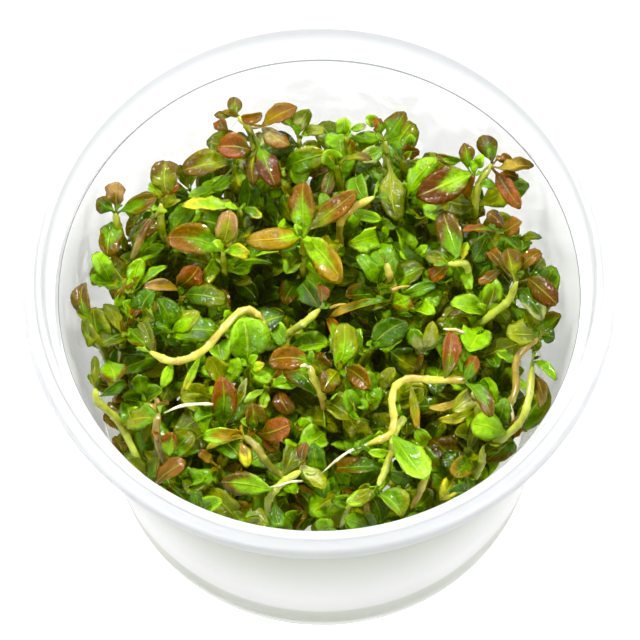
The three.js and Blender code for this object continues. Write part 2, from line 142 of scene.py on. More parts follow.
studio = {
    "floorRadius": 3.0,
    "floorSides": 96,
    "floorColour": "#707070",
    "floorGlowColour": "#ffffff",
    "floorGlow": 1.15,
    "worldColour": "#ffffff",
    "horizonStrength": 1.0,  # bright walls round the table and a dimmer ceiling
    "zenithStrength": 0.34,
    # red, green and blue: the shadows lift a little, and the greens lose their last blue
    "blackLevel": (-0.004, -0.004, 0.006),
    "lightsAim": (0, 0, 0.05),
    "lights": [
        # name, place in metres, side in metres, watts
        ("keySoftbox", (-0.35, 0.45, 1.05), 0.1, 17.0),
        ("sideSoftbox", (0.7, 0.15, 0.75), 0.08, 8.4),
        ("frontSoftbox", (-0.3, -0.75, 0.7), 0.08, 7.0),
        ("backSoftbox", (0.25, 0.8, 0.75), 0.08, 7.0),
    ],
}

deselectAll()
bpy.ops.mesh.primitive_circle_add(
    vertices=studio["floorSides"], radius=studio["floorRadius"], fill_type="NGON")
floor = bpy.context.object
floor.name = "floor"
# matte acrylic of a light table, lit from below: even and pale, with no gloss
floorAcrylic, tree, shader = newMaterial("litWhiteAcrylic")
setInputs(tree, shader, {
    "Base Color": linearColour(studio["floorColour"]),
    "Roughness": 0.9,
    "Specular IOR Level": 0.1,
    "Emission Color": linearColour(studio["floorGlowColour"]),
    "Emission Strength": studio["floorGlow"],
})
floor.data.materials.append(floorAcrylic)

world = bpy.data.worlds.new("studioWorld")
world.use_nodes = True
background = world.node_tree.nodes["Background"]
skyPlace = addNode(world.node_tree, "TexCoord")
skySplit = addNode(world.node_tree, "SeparateXYZ", {"Vector": skyPlace.outputs["Generated"]})
skyFall = addNode(world.node_tree, "MapRange", {
    "Value": skySplit.outputs["Z"],
    "To Min": studio["horizonStrength"], "To Max": studio["zenithStrength"],
})
setInputs(world.node_tree, background, {
    "Color": linearColour(studio["worldColour"]), "Strength": skyFall,
})
bpy.context.scene.world = world

for name, place, side, watts in studio["lights"]:
    lightData = bpy.data.lights.new(name, "AREA")
    lightData.size = side
    lightData.energy = watts
    light = bpy.data.objects.new(name, lightData)
    light.location = place
    aim = Vector(studio["lightsAim"]) - Vector(place)
    light.rotation_euler = aim.to_track_quat("-Z", "Y").to_euler()
    bpy.context.scene.collection.objects.link(light)

viewSettings = bpy.context.scene.view_settings
viewSettings.view_transform = "Standard"
viewSettings.use_curve_mapping = True
viewSettings.curve_mapping.black_level = studio["blackLevel"]
print("camera, floor and lights are set")


# The cup

cup = {
    "sides": 192,
    "sharpAngle": 40,
    # colour of the outside at heights in mm, a painted shade: grey green over the foot, greyer
    # over the rim
    "tones": [
        (0.0, "#a8aca0"), (3.6, "#a8aca0"), (5.0, "#b0b5a6"), (8.0, "#bec3b5"),
        (11.2, "#d0d4c8"), (12.6, "#ffffff"), (60.0, "#ffffff"), (62.6, "#f4f5f6"),
        (65.5, "#eeeff0"), (67.0, "#dcdee0"), (68.4, "#d2d4d6"), (69.7, "#d8dadc"),
        (70.0, "#eef0f1"),
    ],
    # the wall leans out 1 mm in 10 mm, and its radius less that lean, in mm, tells how far a
    # place is on the outside
    "wallLean": 0.1,
    "outsideRadius": (37.9, 38.15),
    # painted shade: thin grey lines round the mouth, where the sharp edges of its steps look dark,
    # each at a radius and height, with its reach, in mm
    "lines": [
        (44.05, 62.04, 0.17, "#70767a"), (45.45, 62.42, 0.14, "#d0d4d6"),
        (46.25, 69.85, 0.25, "#e0e2e4"), (47.3, 69.85, 0.2, "#e6e8ea"),
    ],
    # painted shade: the front of the wall is toned darker and greener, where the dark plants stand
    # close behind it; more so from low to high and from the sides to the front, in mm, up to the
    # rim
    "paintedShadeTone": "#b8bfb0",
    "paintedShadeHeight": (20, 50),
    "paintedShadeFront": (-12, -34),
    "rimFoot": 61.2,
    "outline": [
        (30.0, 0.5), (34.6, 0.5), (35.3, 0.0), (37.0, 0.0), (38.2, 0.5), (38.75, 1.6),
        (38.9, 3.0), (44.5, 59.6), (44.6, 60.9), (44.8, 61.4), (46.1, 61.6), (46.6, 62.1),
        (47.2, 68.5), (47.6, 68.9), (48.9, 68.9), (49.2, 68.6), (49.35, 67.0),
        (49.95, 67.0), (49.9, 68.6), (49.7, 69.2), (49.2, 69.55), (47.9, 69.6),
        (47.5, 69.75), (47.1, 70.0), (46.5, 70.0), (46.15, 69.7), (45.55, 62.6),
        (45.3, 62.2), (44.2, 62.2), (44.08, 62.12), (44.03, 61.9), (39.95, 24.0), (38.0, 3.2),
        (37.6, 2.0), (36.6, 1.3), (34.0, 1.2),
    ],
}


def lathe(name, outline, sides, sharpAngle=cup["sharpAngle"]):
    # a disc, whose face is drawn through every radius and height in turn
    deselectAll()
    radius, height = outline[0]
    bpy.ops.mesh.primitive_circle_add(
        vertices=sides, radius=radius * mm, fill_type="NGON", location=(0, 0, height * mm))
    piece = bpy.context.object
    piece.name = name
    bpy.ops.object.mode_set(mode="EDIT")
    bpy.ops.mesh.select_mode(type="FACE")
    bpy.ops.mesh.select_all(action="SELECT")
    for nextRadius, nextHeight in outline[1:]:
        rise = (nextHeight - height) * mm
        bpy.ops.mesh.extrude_region_move(TRANSFORM_OT_translate={"value": (0, 0, rise)})
        grow = nextRadius / radius
        bpy.ops.transform.resize(
            value=(grow, grow, 1), center_override=(0, 0, nextHeight * mm))
        radius, height = nextRadius, nextHeight
    bpy.ops.mesh.select_all(action="SELECT")
    bpy.ops.mesh.normals_make_consistent(inside=False)
    bpy.ops.object.mode_set(mode="OBJECT")
    bpy.ops.object.shade_smooth_by_angle(angle=math.radians(sharpAngle))
    settle(piece)
    return piece


# polypropylene, injection moulded: milky, clear enough to show what lies close behind it
cupPlastic, tree, shader = newMaterial("mouldedPolypropylene")
place = addNode(tree, "TexCoord")
haze = addNode(tree, "TexNoise", {
    "Vector": place.outputs["Object"],
    "Scale": 90.0,  # flow marks about 11 mm apart
    "Detail": 3.0,
})
roughness = addNode(tree, "MapRange", {"Value": haze, "To Min": 0.29, "To Max": 0.34})
# painted shade: the plastic is greyer in a band over the foot, at the rim and in thin lines round
# the mouth
split = addNode(tree, "SeparateXYZ", {"Vector": place.outputs["Object"]})
topHeight = cup["tones"][-1][0]
shareOfHeight = addNode(tree, "Math", {
    0: split.outputs["Z"], 1: topHeight * mm,
}, operation="DIVIDE")
band = addNode(tree, "ValToRGB", {0: shareOfHeight})
stops = band.color_ramp.elements
stops[0].color, stops[1].color = (linearColour(cup["tones"][end][1]) for end in (0, -1))
for height, colour in cup["tones"][1:-1]:
    stops.new(height / topHeight).color = linearColour(colour)
fromAxis = addNode(tree, "VectorMath", {
    0: place.outputs["Object"], 1: (1, 1, 0),
}, operation="MULTIPLY")
radius = addNode(tree, "VectorMath", {0: fromAxis}, operation="LENGTH")
# only the outside is toned
uprighted = addNode(tree, "Math", {
    0: split.outputs["Z"], 1: -cup["wallLean"], 2: radius,
}, operation="MULTIPLY_ADD")
inner, outer = cup["outsideRadius"]
outside = addNode(tree, "MapRange", {
    "Value": uprighted, "From Min": inner * mm, "From Max": outer * mm,
})
plasticTone = addNode(tree, "Mix", {
    "Factor": outside, 6: linearColour("#ffffff"), 7: band.outputs["Color"],
}, data_type="RGBA")
paintedShadeShare = addNode(tree, "Math", {
    0: split.outputs["Z"], 1: cup["rimFoot"] * mm,
}, operation="LESS_THAN")
# painted shade on the front of the outside: outside, front and height count together
factors = [outside]
for axis, (start, end) in (("Y", cup["paintedShadeFront"]), ("Z", cup["paintedShadeHeight"])):
    factors.append(addNode(tree, "MapRange", {
        "Value": split.outputs[axis], "From Min": start * mm, "From Max": end * mm,
    }))
for factor in factors:
    paintedShadeShare = addNode(tree, "Math", {0: paintedShadeShare, 1: factor}, operation="MULTIPLY")
plasticTone = addNode(tree, "Mix", {
    "Factor": paintedShadeShare, 6: plasticTone, 7: linearColour(cup["paintedShadeTone"]),
}, data_type="RGBA")
acrossCup = addNode(tree, "CombineXYZ", {"X": radius, "Y": split.outputs["Z"]})
# painted shade: each thin dark line round the mouth
for lineRadius, lineHeight, reach, colour in cup["lines"]:
    away = addNode(tree, "VectorMath", {
        0: acrossCup, 1: (lineRadius * mm, lineHeight * mm, 0),
    }, operation="DISTANCE")
    near = addNode(tree, "Math", {0: away, 1: reach * mm}, operation="LESS_THAN")
    plasticTone = addNode(tree, "Mix", {
        "Factor": near, 6: plasticTone, 7: linearColour(colour),
    }, data_type="RGBA")
setInputs(tree, shader, {
    "Base Color": plasticTone,
    "Roughness": roughness,
    "IOR": 1.24,
    "Transmission Weight": 0.74,
})

cupPiece = lathe("plasticCup", cup["outline"], cup["sides"])
cupPiece.data.materials.append(cupPlastic)
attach(cupPiece, "root")
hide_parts("cup")
print("cup made")


# The gel

gel = {
    "sides": 96,
    "height": 24,
    "clearness": (0.8, 0.96),
    "outline": [
        (30.0, 1.6), (36.2, 1.6), (37.2, 2.1), (37.6, 3.2), (39.65, 24.6), (39.45, 24.7),
        (38.6, 24.25), (37.0, 24.05), (30.0, 24.0),
    ],
}

# agar gel, poured: wet, cloudy and a little uneven inside
agarGel, tree, shader = newMaterial("cloudyAgarGel")
place = addNode(tree, "TexCoord")
cloud = addNode(tree, "TexNoise", {
    "Vector": place.outputs["Object"],
    "Scale": 160.0,  # clouds about 6 mm across
    "Detail": 4.0,
})
cloudiest, clearest = gel["clearness"]
clearness = addNode(tree, "MapRange", {"Value": cloud, "To Min": cloudiest, "To Max": clearest})
setInputs(tree, shader, {
    "Base Color": linearColour("#fafdf2"),
    "Roughness": 0.25,
    "IOR": 1.34,
    "Transmission Weight": clearness,
})

gelPiece = lathe("agarBed", gel["outline"], gel["sides"])
gelPiece.data.materials.append(agarGel)
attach(gelPiece, "root")
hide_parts("culture_gel")
print("gel made")


# The leaf, modelled once: a grid whose rows are the stalk and the blade, drawn to a lens

leafForm = {
    "columns": 6,
    "stalkRows": 2,
    "bladeRows": 9,
    # half width of each row as a share of the widest, from the stem to the tip
    "rowWidths": [0.17, 0.14, 0.18, 0.4, 0.68, 0.89, 0.99, 1.0, 0.97, 0.86, 0.62, 0.12],
    "bladeThickness": 0.16,
    "stalkThickness": 0.5,
    "sameRow": 0.01,
    "sameEdge": 0.004,
    "mergeReach": 0.001,
    "twistCentre": 0.4,
    "crease": (0.02, 0.14),  # rounds the fold along the midrib
    "footReach": 4,  # folds and waves are full after a quarter of the blade
    "stalkRise": 0.2,  # a blade starts this share of the way up from the stem to its tip
    "underColour": "#a8a860",
    "underShare": 0.3,
    # how one leaf differs from the next: turns in degrees, bends as shares of its length, folds
    # and waves as shares of its half width, and its shade
    "ranges": {
        "tilt": (-28, 28), "arch": (-0.06, 0.24), "sweep": (-0.08, 0.08), "twist": (-36, 36),
        "fold": (0.05, 0.8), "cup": (-0.35, 0.5), "wave": (0.08, 0.38), "waves": (1.2, 3.0),
        "phase": (0, 1), "point": (0.6, 1.25), "shade": (0.75, 1.15),
    },
}

deselectAll()
rows = leafForm["stalkRows"] + leafForm["bladeRows"]
bpy.ops.mesh.primitive_grid_add(
    x_subdivisions=leafForm["columns"], y_subdivisions=rows, size=2, calc_uvs=True)
leafPattern = bpy.context.object
leafPattern.name = "leafPattern"


def selectWhere(piece, test):
    bpy.ops.mesh.select_all(action="DESELECT")
    bpy.ops.object.mode_set(mode="OBJECT")
    for vertex in piece.data.vertices:
        vertex.select = test(vertex.co)
    bpy.ops.object.mode_set(mode="EDIT")


bpy.ops.object.mode_set(mode="EDIT")
bpy.ops.mesh.select_mode(type="VERT")
for row, width in enumerate(leafForm["rowWidths"]):
    rowPlace = 2 * row / rows - 1
    selectWhere(leafPattern, lambda co: abs(co.y - rowPlace) < leafForm["sameRow"])
    bpy.ops.transform.resize(value=(width, 1, 1), center_override=(0, rowPlace, 0))
widths = np.array(leafForm["rowWidths"])


def onEdge(co):
    row = round((co.y + 1) / 2 * rows)
    return row in (0, rows) or abs(abs(co.x) - widths[row]) < leafForm["sameEdge"]


bpy.ops.mesh.select_all(action="SELECT")
bpy.ops.mesh.extrude_region_move(TRANSFORM_OT_translate={"value": (0, 0, -2)})
bpy.ops.mesh.select_all(action="SELECT")
bpy.ops.transform.translate(value=(0, 0, 1))
selectWhere(leafPattern, onEdge)
bpy.ops.transform.resize(value=(1, 1, 0), center_override=(0, 0, 0))
bpy.ops.mesh.select_all(action="SELECT")
bpy.ops.mesh.remove_doubles(threshold=leafForm["mergeReach"])
bpy.ops.mesh.normals_make_consistent(inside=False)
bpy.ops.object.mode_set(mode="OBJECT")
bpy.ops.object.shade_smooth()

leafRest = np.array([vertex.co for vertex in leafPattern.data.vertices])
leafMap = leafPattern.data.uv_layers[0]
leafMap.name = "leafMap"
for item in leafMap.data:
    # along runs from 0 at the blade's foot to 1 at its tip
    along = (item.uv.y * rows - leafForm["stalkRows"]) / leafForm["bladeRows"]
    item.uv = (item.uv.x, max(along, 0.0))
print("leaf pattern made with", len(leafPattern.data.polygons), "faces")


# The shoots, numbered from 1: the stem's colour, the stem as picture points with heights from
# below to the tip, and its leaves, each as blade start x, y, leaf tip x, y, tip height, width in
# mm, its colour, the colour that its tip and edges take, how far that reaches, and for a few
# their turn about their own line in degrees
shoots = [
    ("straw", [(131, 262, 40), (124, 243, 50), (118, 226, 56), (115, 213, 59)], [
        (117, 205, 117, 182, 61, 3.6, "brown", "pink", 0.6),
        (112, 210, 97, 199, 60.5, 3, "deep", "brown", 0.3),
        (121, 211, 158, 196, 61, 3.2, "green", "brown", 0.5, 20),
        (112, 222, 107, 258, 55, 4, "green", "brown", 0.35),
    ]),
    ("straw", [(170, 262, 38), (166, 243, 47), (161, 225, 55), (161, 203, 58)], [
        (166, 192, 166, 161, 60, 4.8, "olive", "brown", 0.3),
        (162, 193, 149, 184, 59, 2.2, "fresh", "lime", 0.3),
        (165, 195, 179, 183, 57.5, 2.2, "wine", "red", 0.5),
        (163, 208, 177, 198, 56, 2.6, "olive", "olive", 0.2),
        (155, 211, 127, 236, 50.8, 3.8, "olive", "brown", 0.2, 10),
    ]),
    ("blush", [(136, 300, 36), (134, 258, 50), (140, 240, 54), (151, 219, 57)], [
        (143, 230, 145, 259, 50, 2.6, "olive", "brown", 0.25),
        (139, 250, 118, 264, 49, 2.4, "fresh", "lime", 0.3),
    ]),
    ("pale", [(142, 330, 36), (136, 305, 46), (131, 291, 51)], [
        (130, 292, 112, 320, 50, 4.4, "lime", "fresh", 0.3),
        (129, 288, 104, 257, 53, 4.2, "moss", "brown", 0.2),
        (134, 287, 141, 258, 54.5, 3, "fresh", "lime", 0.2),
        (118, 286, 98, 264, 49, 2.6, "lime", "yellow", 0.3),
        (139, 288, 168, 266, 51.5, 1.8, "green", "fresh", 0.2),
        (146, 302, 181, 345, 49, 4.2, "green", "deep", 0.3),
    ]),
    ("pale", [(190, 340, 32), (184, 315, 43), (181, 297, 50)], [
        (178, 289, 143, 289, 53, 2.2, "orange", "pink", 0.5, 15),
        (178, 287, 199, 266, 54, 4.2, "brown", "red", 0.5),
        (184, 298, 203, 316, 47, 4.4, "green", "fresh", 0.2),
        (186, 295, 228, 301, 51, 4.2, "deep", "moss", 0.4, 10),
        (180, 300, 166, 330, 45, 3.6, "deep", "dark", 0.2),
    ]),
    ("straw", [(228, 310, 32), (225, 280, 45), (223, 252, 55)], [
        (221, 248, 166, 238, 57, 5.4, "green", "rust", 0.45),
        (222, 246, 230, 210, 58, 4, "olive", "pink", 0.4),
        (227, 251, 250, 257, 55, 2.4, "fresh", "yellow", 0.3),
        (221, 262, 216, 292, 47, 3.4, "deep", "dark", 0.2),
        (226, 262, 252, 269, 50, 3.2, "green", "fresh", 0.2),
        (215, 258, 198, 286, 50.5, 2.4, "lime", "yellow", 0.2),
        (234, 280, 257, 300, 44, 3.4, "deep", "dark", 0.2),
    ]),
    ("pale", [(243, 245, 40), (242, 225, 48), (239, 209, 54)], [
        (235, 207, 181, 206, 57, 2.8, "lime", "yellow", 0.3, 15),
        (244, 208, 262, 217, 53, 2, "green", "yellow", 0.2),
    ]),
    ("straw", [(238, 198, 42), (237, 180, 50), (234, 165, 57)], [
        (231, 160, 182, 171, 59, 4.2, "olive", "brown", 0.35),
        (231, 178, 212, 190, 54, 2.6, "green", "fresh", 0.2),
        (214, 187, 188, 197, 55.5, 1.7, "green", "fresh", 0.2),
        (238, 170, 241, 187, 52, 2, "lime", "yellow", 0.2),
    ]),
    ("pale", [(259, 190, 42), (257, 160, 51), (252, 137, 57), (246, 124, 60), (238, 116, 61)], [
        (235, 114, 235, 97, 62.5, 2.6, "olive", "brown", 0.4),
        (231, 116, 214, 115, 61, 1.6, "moss", "brown", 0.4),
        (228, 131, 220, 119, 60.5, 2.2, "brown", "red", 0.4),
        (241, 118, 262, 114, 62, 1.8, "red", "rust", 0.3),
        (251, 150, 217, 147, 60, 4.4, "brown", "red", 0.5),
        (250, 141, 238, 132, 57, 1.6, "deep", "dark", 0.2),
        (260, 142, 272, 140, 59, 2.4, "silver", "moss", 0.3),
        (258, 148, 254, 186, 57, 3.6, "olive", "brown", 0.6),
        (261, 147, 277, 188, 59, 4, "green", "wine", 0.6),
        (262, 126, 297, 107, 62.5, 3.4, "orange", "rust", 0.5),
        (262, 127, 290, 146, 60, 3.6, "pink", "rust", 0.3, 180),
    ]),
    ("straw", [(302, 200, 42), (301, 170, 50), (299, 138, 57)], [
        (298, 134, 309, 109, 60, 3, "silver", "moss", 0.4),
        (303, 133, 325, 132, 58.5, 2.2, "moss", "olive", 0.4),
        (296, 130, 272, 117, 59.5, 2.2, "green", "brown", 0.5, 25),
    ]),
    ("pale", [(289, 215, 38), (286, 190, 48), (283, 170, 54)], [
        (284, 167, 327, 153, 58, 4.4, "green", "olive", 0.3),
        (294, 160, 300, 186, 52, 3.4, "green", "fresh", 0.2),
        (281, 178, 292, 204, 50, 1.6, "yellow", "lime", 0.2),
        (281, 172, 270, 180, 53, 2.4, "brown", "rust", 0.3),
    ]),
    ("straw", [(303, 300, 34), (303, 268, 46), (303, 238, 58)], [
        (300, 235, 245, 241, 61, 4, "lime", "orange", 0.7),
        (304, 231, 303, 182, 62, 4.6, "fresh", "rust", 0.4),
        (308, 229, 357, 191, 62, 3.8, "olive", "rust", 0.5),
        (306, 240, 342, 281, 59, 4.4, "lime", "orange", 0.35),
        (299, 241, 279, 252, 55, 3, "deep", "dark", 0.2),
        (297, 246, 252, 256, 53, 2.6, "lime", "fresh", 0.2),
    ]),
    ("cream", [(341, 262, 44), (340, 240, 52), (341, 222, 57), (352, 209, 59.5), (374, 197, 60)], [
        (338, 246, 344, 255, 52, 1.6, "fresh", "lime", 0.2),
        (366, 200, 356, 176, 58, 3.6, "green", "green", 0.2),
        (350, 210, 382, 220, 57, 2.2, "green", "fresh", 0.2),
    ]),
    ("straw", [(342, 200, 46), (340, 185, 52), (337, 165, 57)], [
        (338, 163, 326, 150, 60, 3.4, "fresh", "lime", 0.3),
        (350, 158, 353, 140, 61, 2, "olive", "brown", 0.4),
        (345, 158, 372, 160, 59, 1.8, "olive", "brown", 0.4),
        (333, 170, 325, 198, 54, 2.4, "moss", "brown", 0.4),
    ]),
    ("straw", [(352, 172, 44), (348, 150, 54), (346, 136, 58)], [
        (346, 134, 345, 118, 60.5, 2.8, "fresh", "lime", 0.2),
        (350, 130, 366, 125, 58, 1.4, "fresh", "silver", 0.2),
        (352, 138, 380, 138, 57, 2.4, "green", "fresh", 0.2),
    ]),
    ("pale", [(388, 190, 44), (387, 167, 51), (385, 141, 58)], [
        (388, 139, 405, 112, 61, 3.4, "green", "brown", 0.3),
        (380, 134, 375, 119, 60, 2.4, "green", "red", 0.35),
        (377, 124, 366, 117, 59, 2.2, "olive", "lime", 0.2),
        (383, 150, 360, 160, 56, 3, "green", "silver", 0.3),
        (391, 172, 397, 221, 56, 4.8, "olive", "moss", 0.4),
    ]),
    ("straw", [(405, 185, 46), (404, 172, 52), (404, 160, 57)], [
        (402, 152, 419, 150, 59.5, 2.6, "brown", "wine", 0.4),
        (408, 148, 410, 134, 60.5, 2, "green", "fresh", 0.2),
    ]),
    ("blush", [(455, 212, 48), (466, 194, 54), (474, 174, 60)], [
        (470, 173, 416, 197, 60.5, 5.8, "fresh", "wine", 0.52),
        (468, 168, 464, 143, 62, 2.8, "green", "brown", 0.4),
        (462, 160, 436, 155, 61, 1.6, "fresh", "brown", 0.3),
        (477, 168, 484, 155, 62.8, 2, "green", "lime", 0.3),
    ]),
    ("straw", [(396, 262, 36), (400, 236, 45), (406, 198, 54)], [
        (408, 193, 437, 158, 58, 4, "fresh", "lime", 0.3),
        (404, 222, 412, 243, 50, 3, "green", "fresh", 0.2),
        (412, 200, 430, 207, 53, 2.2, "dark", "brown", 0.3),
    ]),
    ("pale", [(475, 240, 44), (475, 222, 50), (476, 200, 55), (480, 182, 58), (492, 164, 61)], [
        (493, 158, 481, 136, 62.5, 3.2, "green", "brown", 0.5),
        (497, 160, 513, 160, 62, 1.8, "brown", "rust", 0.4),
        (499, 168, 534, 166, 63.8, 2.6, "tan", "brown", 0.4),
        (499, 174, 519, 179, 61, 2, "red", "wine", 0.5),
        (497, 174, 520, 209, 61, 3, "wine", "red", 0.5),
        (496, 186, 480, 184, 59.5, 1.6, "green", "fresh", 0.2),
    ]),
    ("straw", [(493, 275, 42), (493, 252, 50), (499, 231, 58)], [
        (503, 227, 487, 213, 60, 2.8, "wine", "brown", 0.3),
        (495, 231, 461, 231, 58.5, 1.8, "green", "red", 0.6, 25),
        (505, 235, 522, 222, 60.5, 3.4, "brown", "rust", 0.4),
        (520, 239, 542, 238, 59.5, 1.8, "moss", "dark", 0.2),
        (508, 237, 521, 250, 57, 2.6, "green", "fresh", 0.2),
        (487, 234, 473, 262, 54, 3.4, "deep", "dark", 0.2),
    ]),
    ("pale", [(465, 337, 44), (479, 325, 49), (492, 314, 52), (508, 301, 55), (517, 281, 59)], [
        (514, 277, 507, 248, 61, 3.6, "olive", "brown", 0.45),
        (521, 268, 541, 252, 60.5, 2.6, "brown", "rust", 0.4),
        (529, 279, 557, 304, 60, 3.8, "brown", "wine", 0.4),
        (520, 288, 543, 320, 56, 3.4, "deep", "silver", 0.25),
        (499, 270, 478, 284, 56, 2.2, "brown", "rust", 0.4),
        (503, 268, 488, 252, 57, 2.2, "brown", "red", 0.3),
    ]),
    ("pale", [(470, 310, 40), (469, 285, 48), (465, 264, 54), (448, 264, 56)], [
        (458, 256, 443, 212, 58.5, 4.4, "green", "brown", 0.5),
        (463, 258, 467, 242, 57, 1.8, "yellow", "lime", 0.3),
        (470, 266, 471, 292, 51, 2, "fresh", "lime", 0.2),
        (446, 266, 430, 280, 53, 2.8, "brown", "red", 0.5),
        (446, 262, 425, 256, 56, 2.4, "olive", "moss", 0.3),
    ]),
    ("straw", [(494, 355, 36), (491, 335, 44), (488, 313, 50)], [
        (487, 311, 450, 304, 52.5, 3.6, "fresh", "lime", 0.2),
        (483, 314, 447, 317, 49, 1.8, "moss", "brown", 0.2),
    ]),
    ("cream", [(397, 302, 48), (393, 287, 54), (389, 273, 58), (386, 263, 60)], [
        (390, 300, 329, 317, 53, 1.7, "green", "orange", 0.4, 15),
        (399, 301, 420, 329, 51, 3.8, "olive", "green", 0.3),
        (400, 296, 436, 284, 53, 2.2, "green", "deep", 0.2, 10),
    ]),
    ("straw", [(383, 290, 38), (382, 265, 46), (384, 242, 52)], [
        (386, 238, 384, 226, 54.5, 1.4, "fresh", "lime", 0.2),
        (378, 236, 348, 244, 56, 4, "fresh", "lime", 0.2),
        (378, 248, 372, 271, 53, 3.4, "deep", "green", 0.2),
        (390, 243, 420, 275, 50, 4.2, "deep", "dark", 0.2),
    ]),
    ("blush", [(413, 385, 40), (418, 368, 47), (422, 353, 51)], [
        (423, 350, 433, 321, 56, 2.6, "silver", "olive", 0.3, 15),
        (420, 350, 411, 329, 55.5, 2.8, "silver", "green", 0.4),
        (425, 350, 443, 336, 50, 3.2, "deep", "dark", 0.2),
    ]),
    ("straw", [(247, 405, 36), (247, 385, 46), (248, 366, 54)], [
        (247, 361, 243, 317, 59.5, 7.2, "green", "fresh", 0.25),
        (245, 370, 217, 366, 55, 2.8, "lime", "fresh", 0.2),
        (251, 367, 265, 364, 56, 1.8, "lime", "yellow", 0.2),
        (252, 372, 272, 381, 54, 2.4, "fresh", "lime", 0.2),
    ]),
    ("pale", [(281, 362, 46), (285, 344, 51), (291, 332, 54), (305, 322, 56), (320, 309, 57)], [
        (283, 345, 272, 324, 53, 3.2, "green", "fresh", 0.2),
        (318, 306, 302, 283, 56, 3.6, "dark", "deep", 0.3),
        (322, 304, 320, 284, 57, 2.2, "brown", "red", 0.4),
    ]),
    ("cream", [(328, 434, 42), (325, 416, 47), (321, 393, 53), (313, 377, 56), (310, 366, 58)], [
        (308, 361, 269, 361, 60.5, 4.2, "green", "rust", 0.85),
        (308, 373, 292, 370, 56, 1.8, "fresh", "orange", 0.3),
        (325, 432, 301, 446, 51, 4.6, "fresh", "lime", 0.2),
    ]),
    ("tan", [(262, 420, 38), (264, 403, 46), (268, 388, 52)], [
        (270, 382, 289, 355, 57, 1.2, "red", "orange", 0.4, 40),
        (279, 391, 291, 416, 51, 3.6, "wine", "brown", 0.3),
        (267, 391, 262, 409, 51, 1.8, "lime", "yellow", 0.2),
        (264, 389, 243, 404, 53, 1.4, "lime", "lime", 0.2),
    ]),
    ("straw", [(345, 420, 38), (343, 395, 47), (341, 371, 55)], [
        (339, 366, 344, 323, 60, 4.4, "fresh", "olive", 0.4),
        (338, 371, 322, 392, 56, 4, "olive", "brown", 0.4),
        (346, 368, 370, 388, 56, 3.6, "brown", "rust", 0.3),
        (347, 378, 367, 410, 54, 3.4, "green", "fresh", 0.2),
        (336, 356, 328, 318, 53, 2, "green", "red", 0.3),
    ]),
    ("straw", [(357, 385, 40), (363, 363, 48), (370, 350, 53)], [
        (372, 347, 407, 322, 57, 4.6, "deep", "dark", 0.2),
        (362, 350, 359, 328, 51, 1.6, "green", "fresh", 0.2),
    ]),
    ("cream", [(466, 380, 57), (434, 380, 58.5), (408, 379, 59), (396, 386, 59), (392, 402, 58.5),
        (394, 420, 58), (390, 434, 57.5), (368, 444, 56.5)], [
        (446, 377, 451, 331, 61, 3.2, "moss", "red", 0.6),
        (466, 380, 476, 356, 60.5, 2.8, "green", "red", 0.35),
        (468, 384, 491, 417, 58, 2.6, "green", "brown", 0.3),
        (411, 384, 417, 430, 57, 1.7, "olive", "orange", 0.3),
        (395, 437, 427, 480, 60, 5, "green", "lime", 0.3),
    ]),
    ("pale", [(404, 418, 53), (395, 432, 53.5), (390, 453, 55), (385, 471, 56), (378, 486, 57)], [
        (374, 489, 346, 504, 57.5, 2.8, "olive", "lime", 0.3),
        (378, 494, 402, 517, 57, 4, "green", "olive", 0.2),
        (387, 472, 411, 479, 54, 2.2, "deep", "dark", 0.2),
        (385, 466, 334, 469, 52, 3.2, "deep", "brown", 0.4),
        (389, 452, 368, 452, 57, 1.6, "fresh", "lime", 0.2),
    ]),
    ("cream", [(509, 406, 52), (516, 388, 54), (516, 361, 56), (527, 346, 57.5), (538, 338, 58)], [
        (535, 335, 506, 334, 60, 4.4, "moss", "olive", 0.4),
        (541, 335, 555, 338, 57.5, 2.6, "deep", "dark", 0.2),
        (514, 362, 496, 352, 57, 2, "green", "lime", 0.2),
    ]),
    ("pale", [(474, 478, 47), (481, 465, 48), (484, 451, 50), (504, 437, 52.5), (520, 422, 54),
        (528, 402, 55), (533, 360, 55)], [
        (534, 362, 556, 380, 58, 1.6, "green", "fresh", 0.2),
        (534, 375, 541, 407, 51, 2.6, "brown", "orange", 0.4),
        (524, 414, 515, 437, 51, 2.2, "brown", "red", 0.4),
        (503, 433, 471, 423, 56, 5, "fresh", "lime", 0.2),
        (500, 445, 486, 454, 51, 2.4, "moss", "dark", 0.2),
    ]),
    ("straw", [(472, 480, 38), (470, 468, 44), (470, 458, 49)], [
        (468, 459, 453, 477, 51, 3.6, "green", "orange", 0.4),
        (468, 450, 475, 418, 51, 2, "moss", "brown", 0.3),
        (462, 462, 440, 460, 47, 3.4, "deep", "dark", 0.2),
        (452, 482, 440, 500, 52, 3.4, "olive", "yellow", 0.4),
    ]),
    ("pale", [(270, 518, 50), (268, 503, 54), (275, 490, 57), (286, 480, 58), (301, 471, 59)], [
        (270, 489, 221, 482, 60, 3.8, "fresh", "brown", 0.3),
        (275, 505, 280, 527, 55, 3, "deep", "green", 0.2),
        (302, 465, 324, 489, 61, 2.8, "silver", "olive", 0.4, 180),
        (284, 474, 296, 447, 58, 3.6, "moss", "moss", 0.3),
        (302, 462, 306, 442, 60, 2, "brown", "rust", 0.4),
    ]),
    ("tan", [(285, 477, 53), (275, 471, 54), (265, 460, 55.5), (256, 446, 57), (244, 436, 58)], [
        (241, 433, 203, 437, 58.5, 2.4, "orange", "fresh", 0.3),
        (239, 438, 206, 449, 56, 1.5, "yellow", "yellow", 0.4),
        (240, 443, 247, 468, 57, 2.4, "orange", "yellow", 0.4),
    ]),
    ("straw", [(224, 488, 40), (221, 476, 47), (218, 466, 52)], [
        (214, 470, 187, 494, 55, 4.6, "green", "moss", 0.35),
        (212, 462, 199, 451, 53, 1.8, "orange", "rust", 0.3),
        (222, 470, 232, 500, 46, 4, "deep", "dark", 0.2),
    ]),
    ("blush", [(167, 474, 42), (165, 460, 50), (159, 446, 54), (156, 428, 57), (159, 413, 58)], [
        (168, 456, 172, 432, 58, 3.2, "fresh", "red", 0.35),
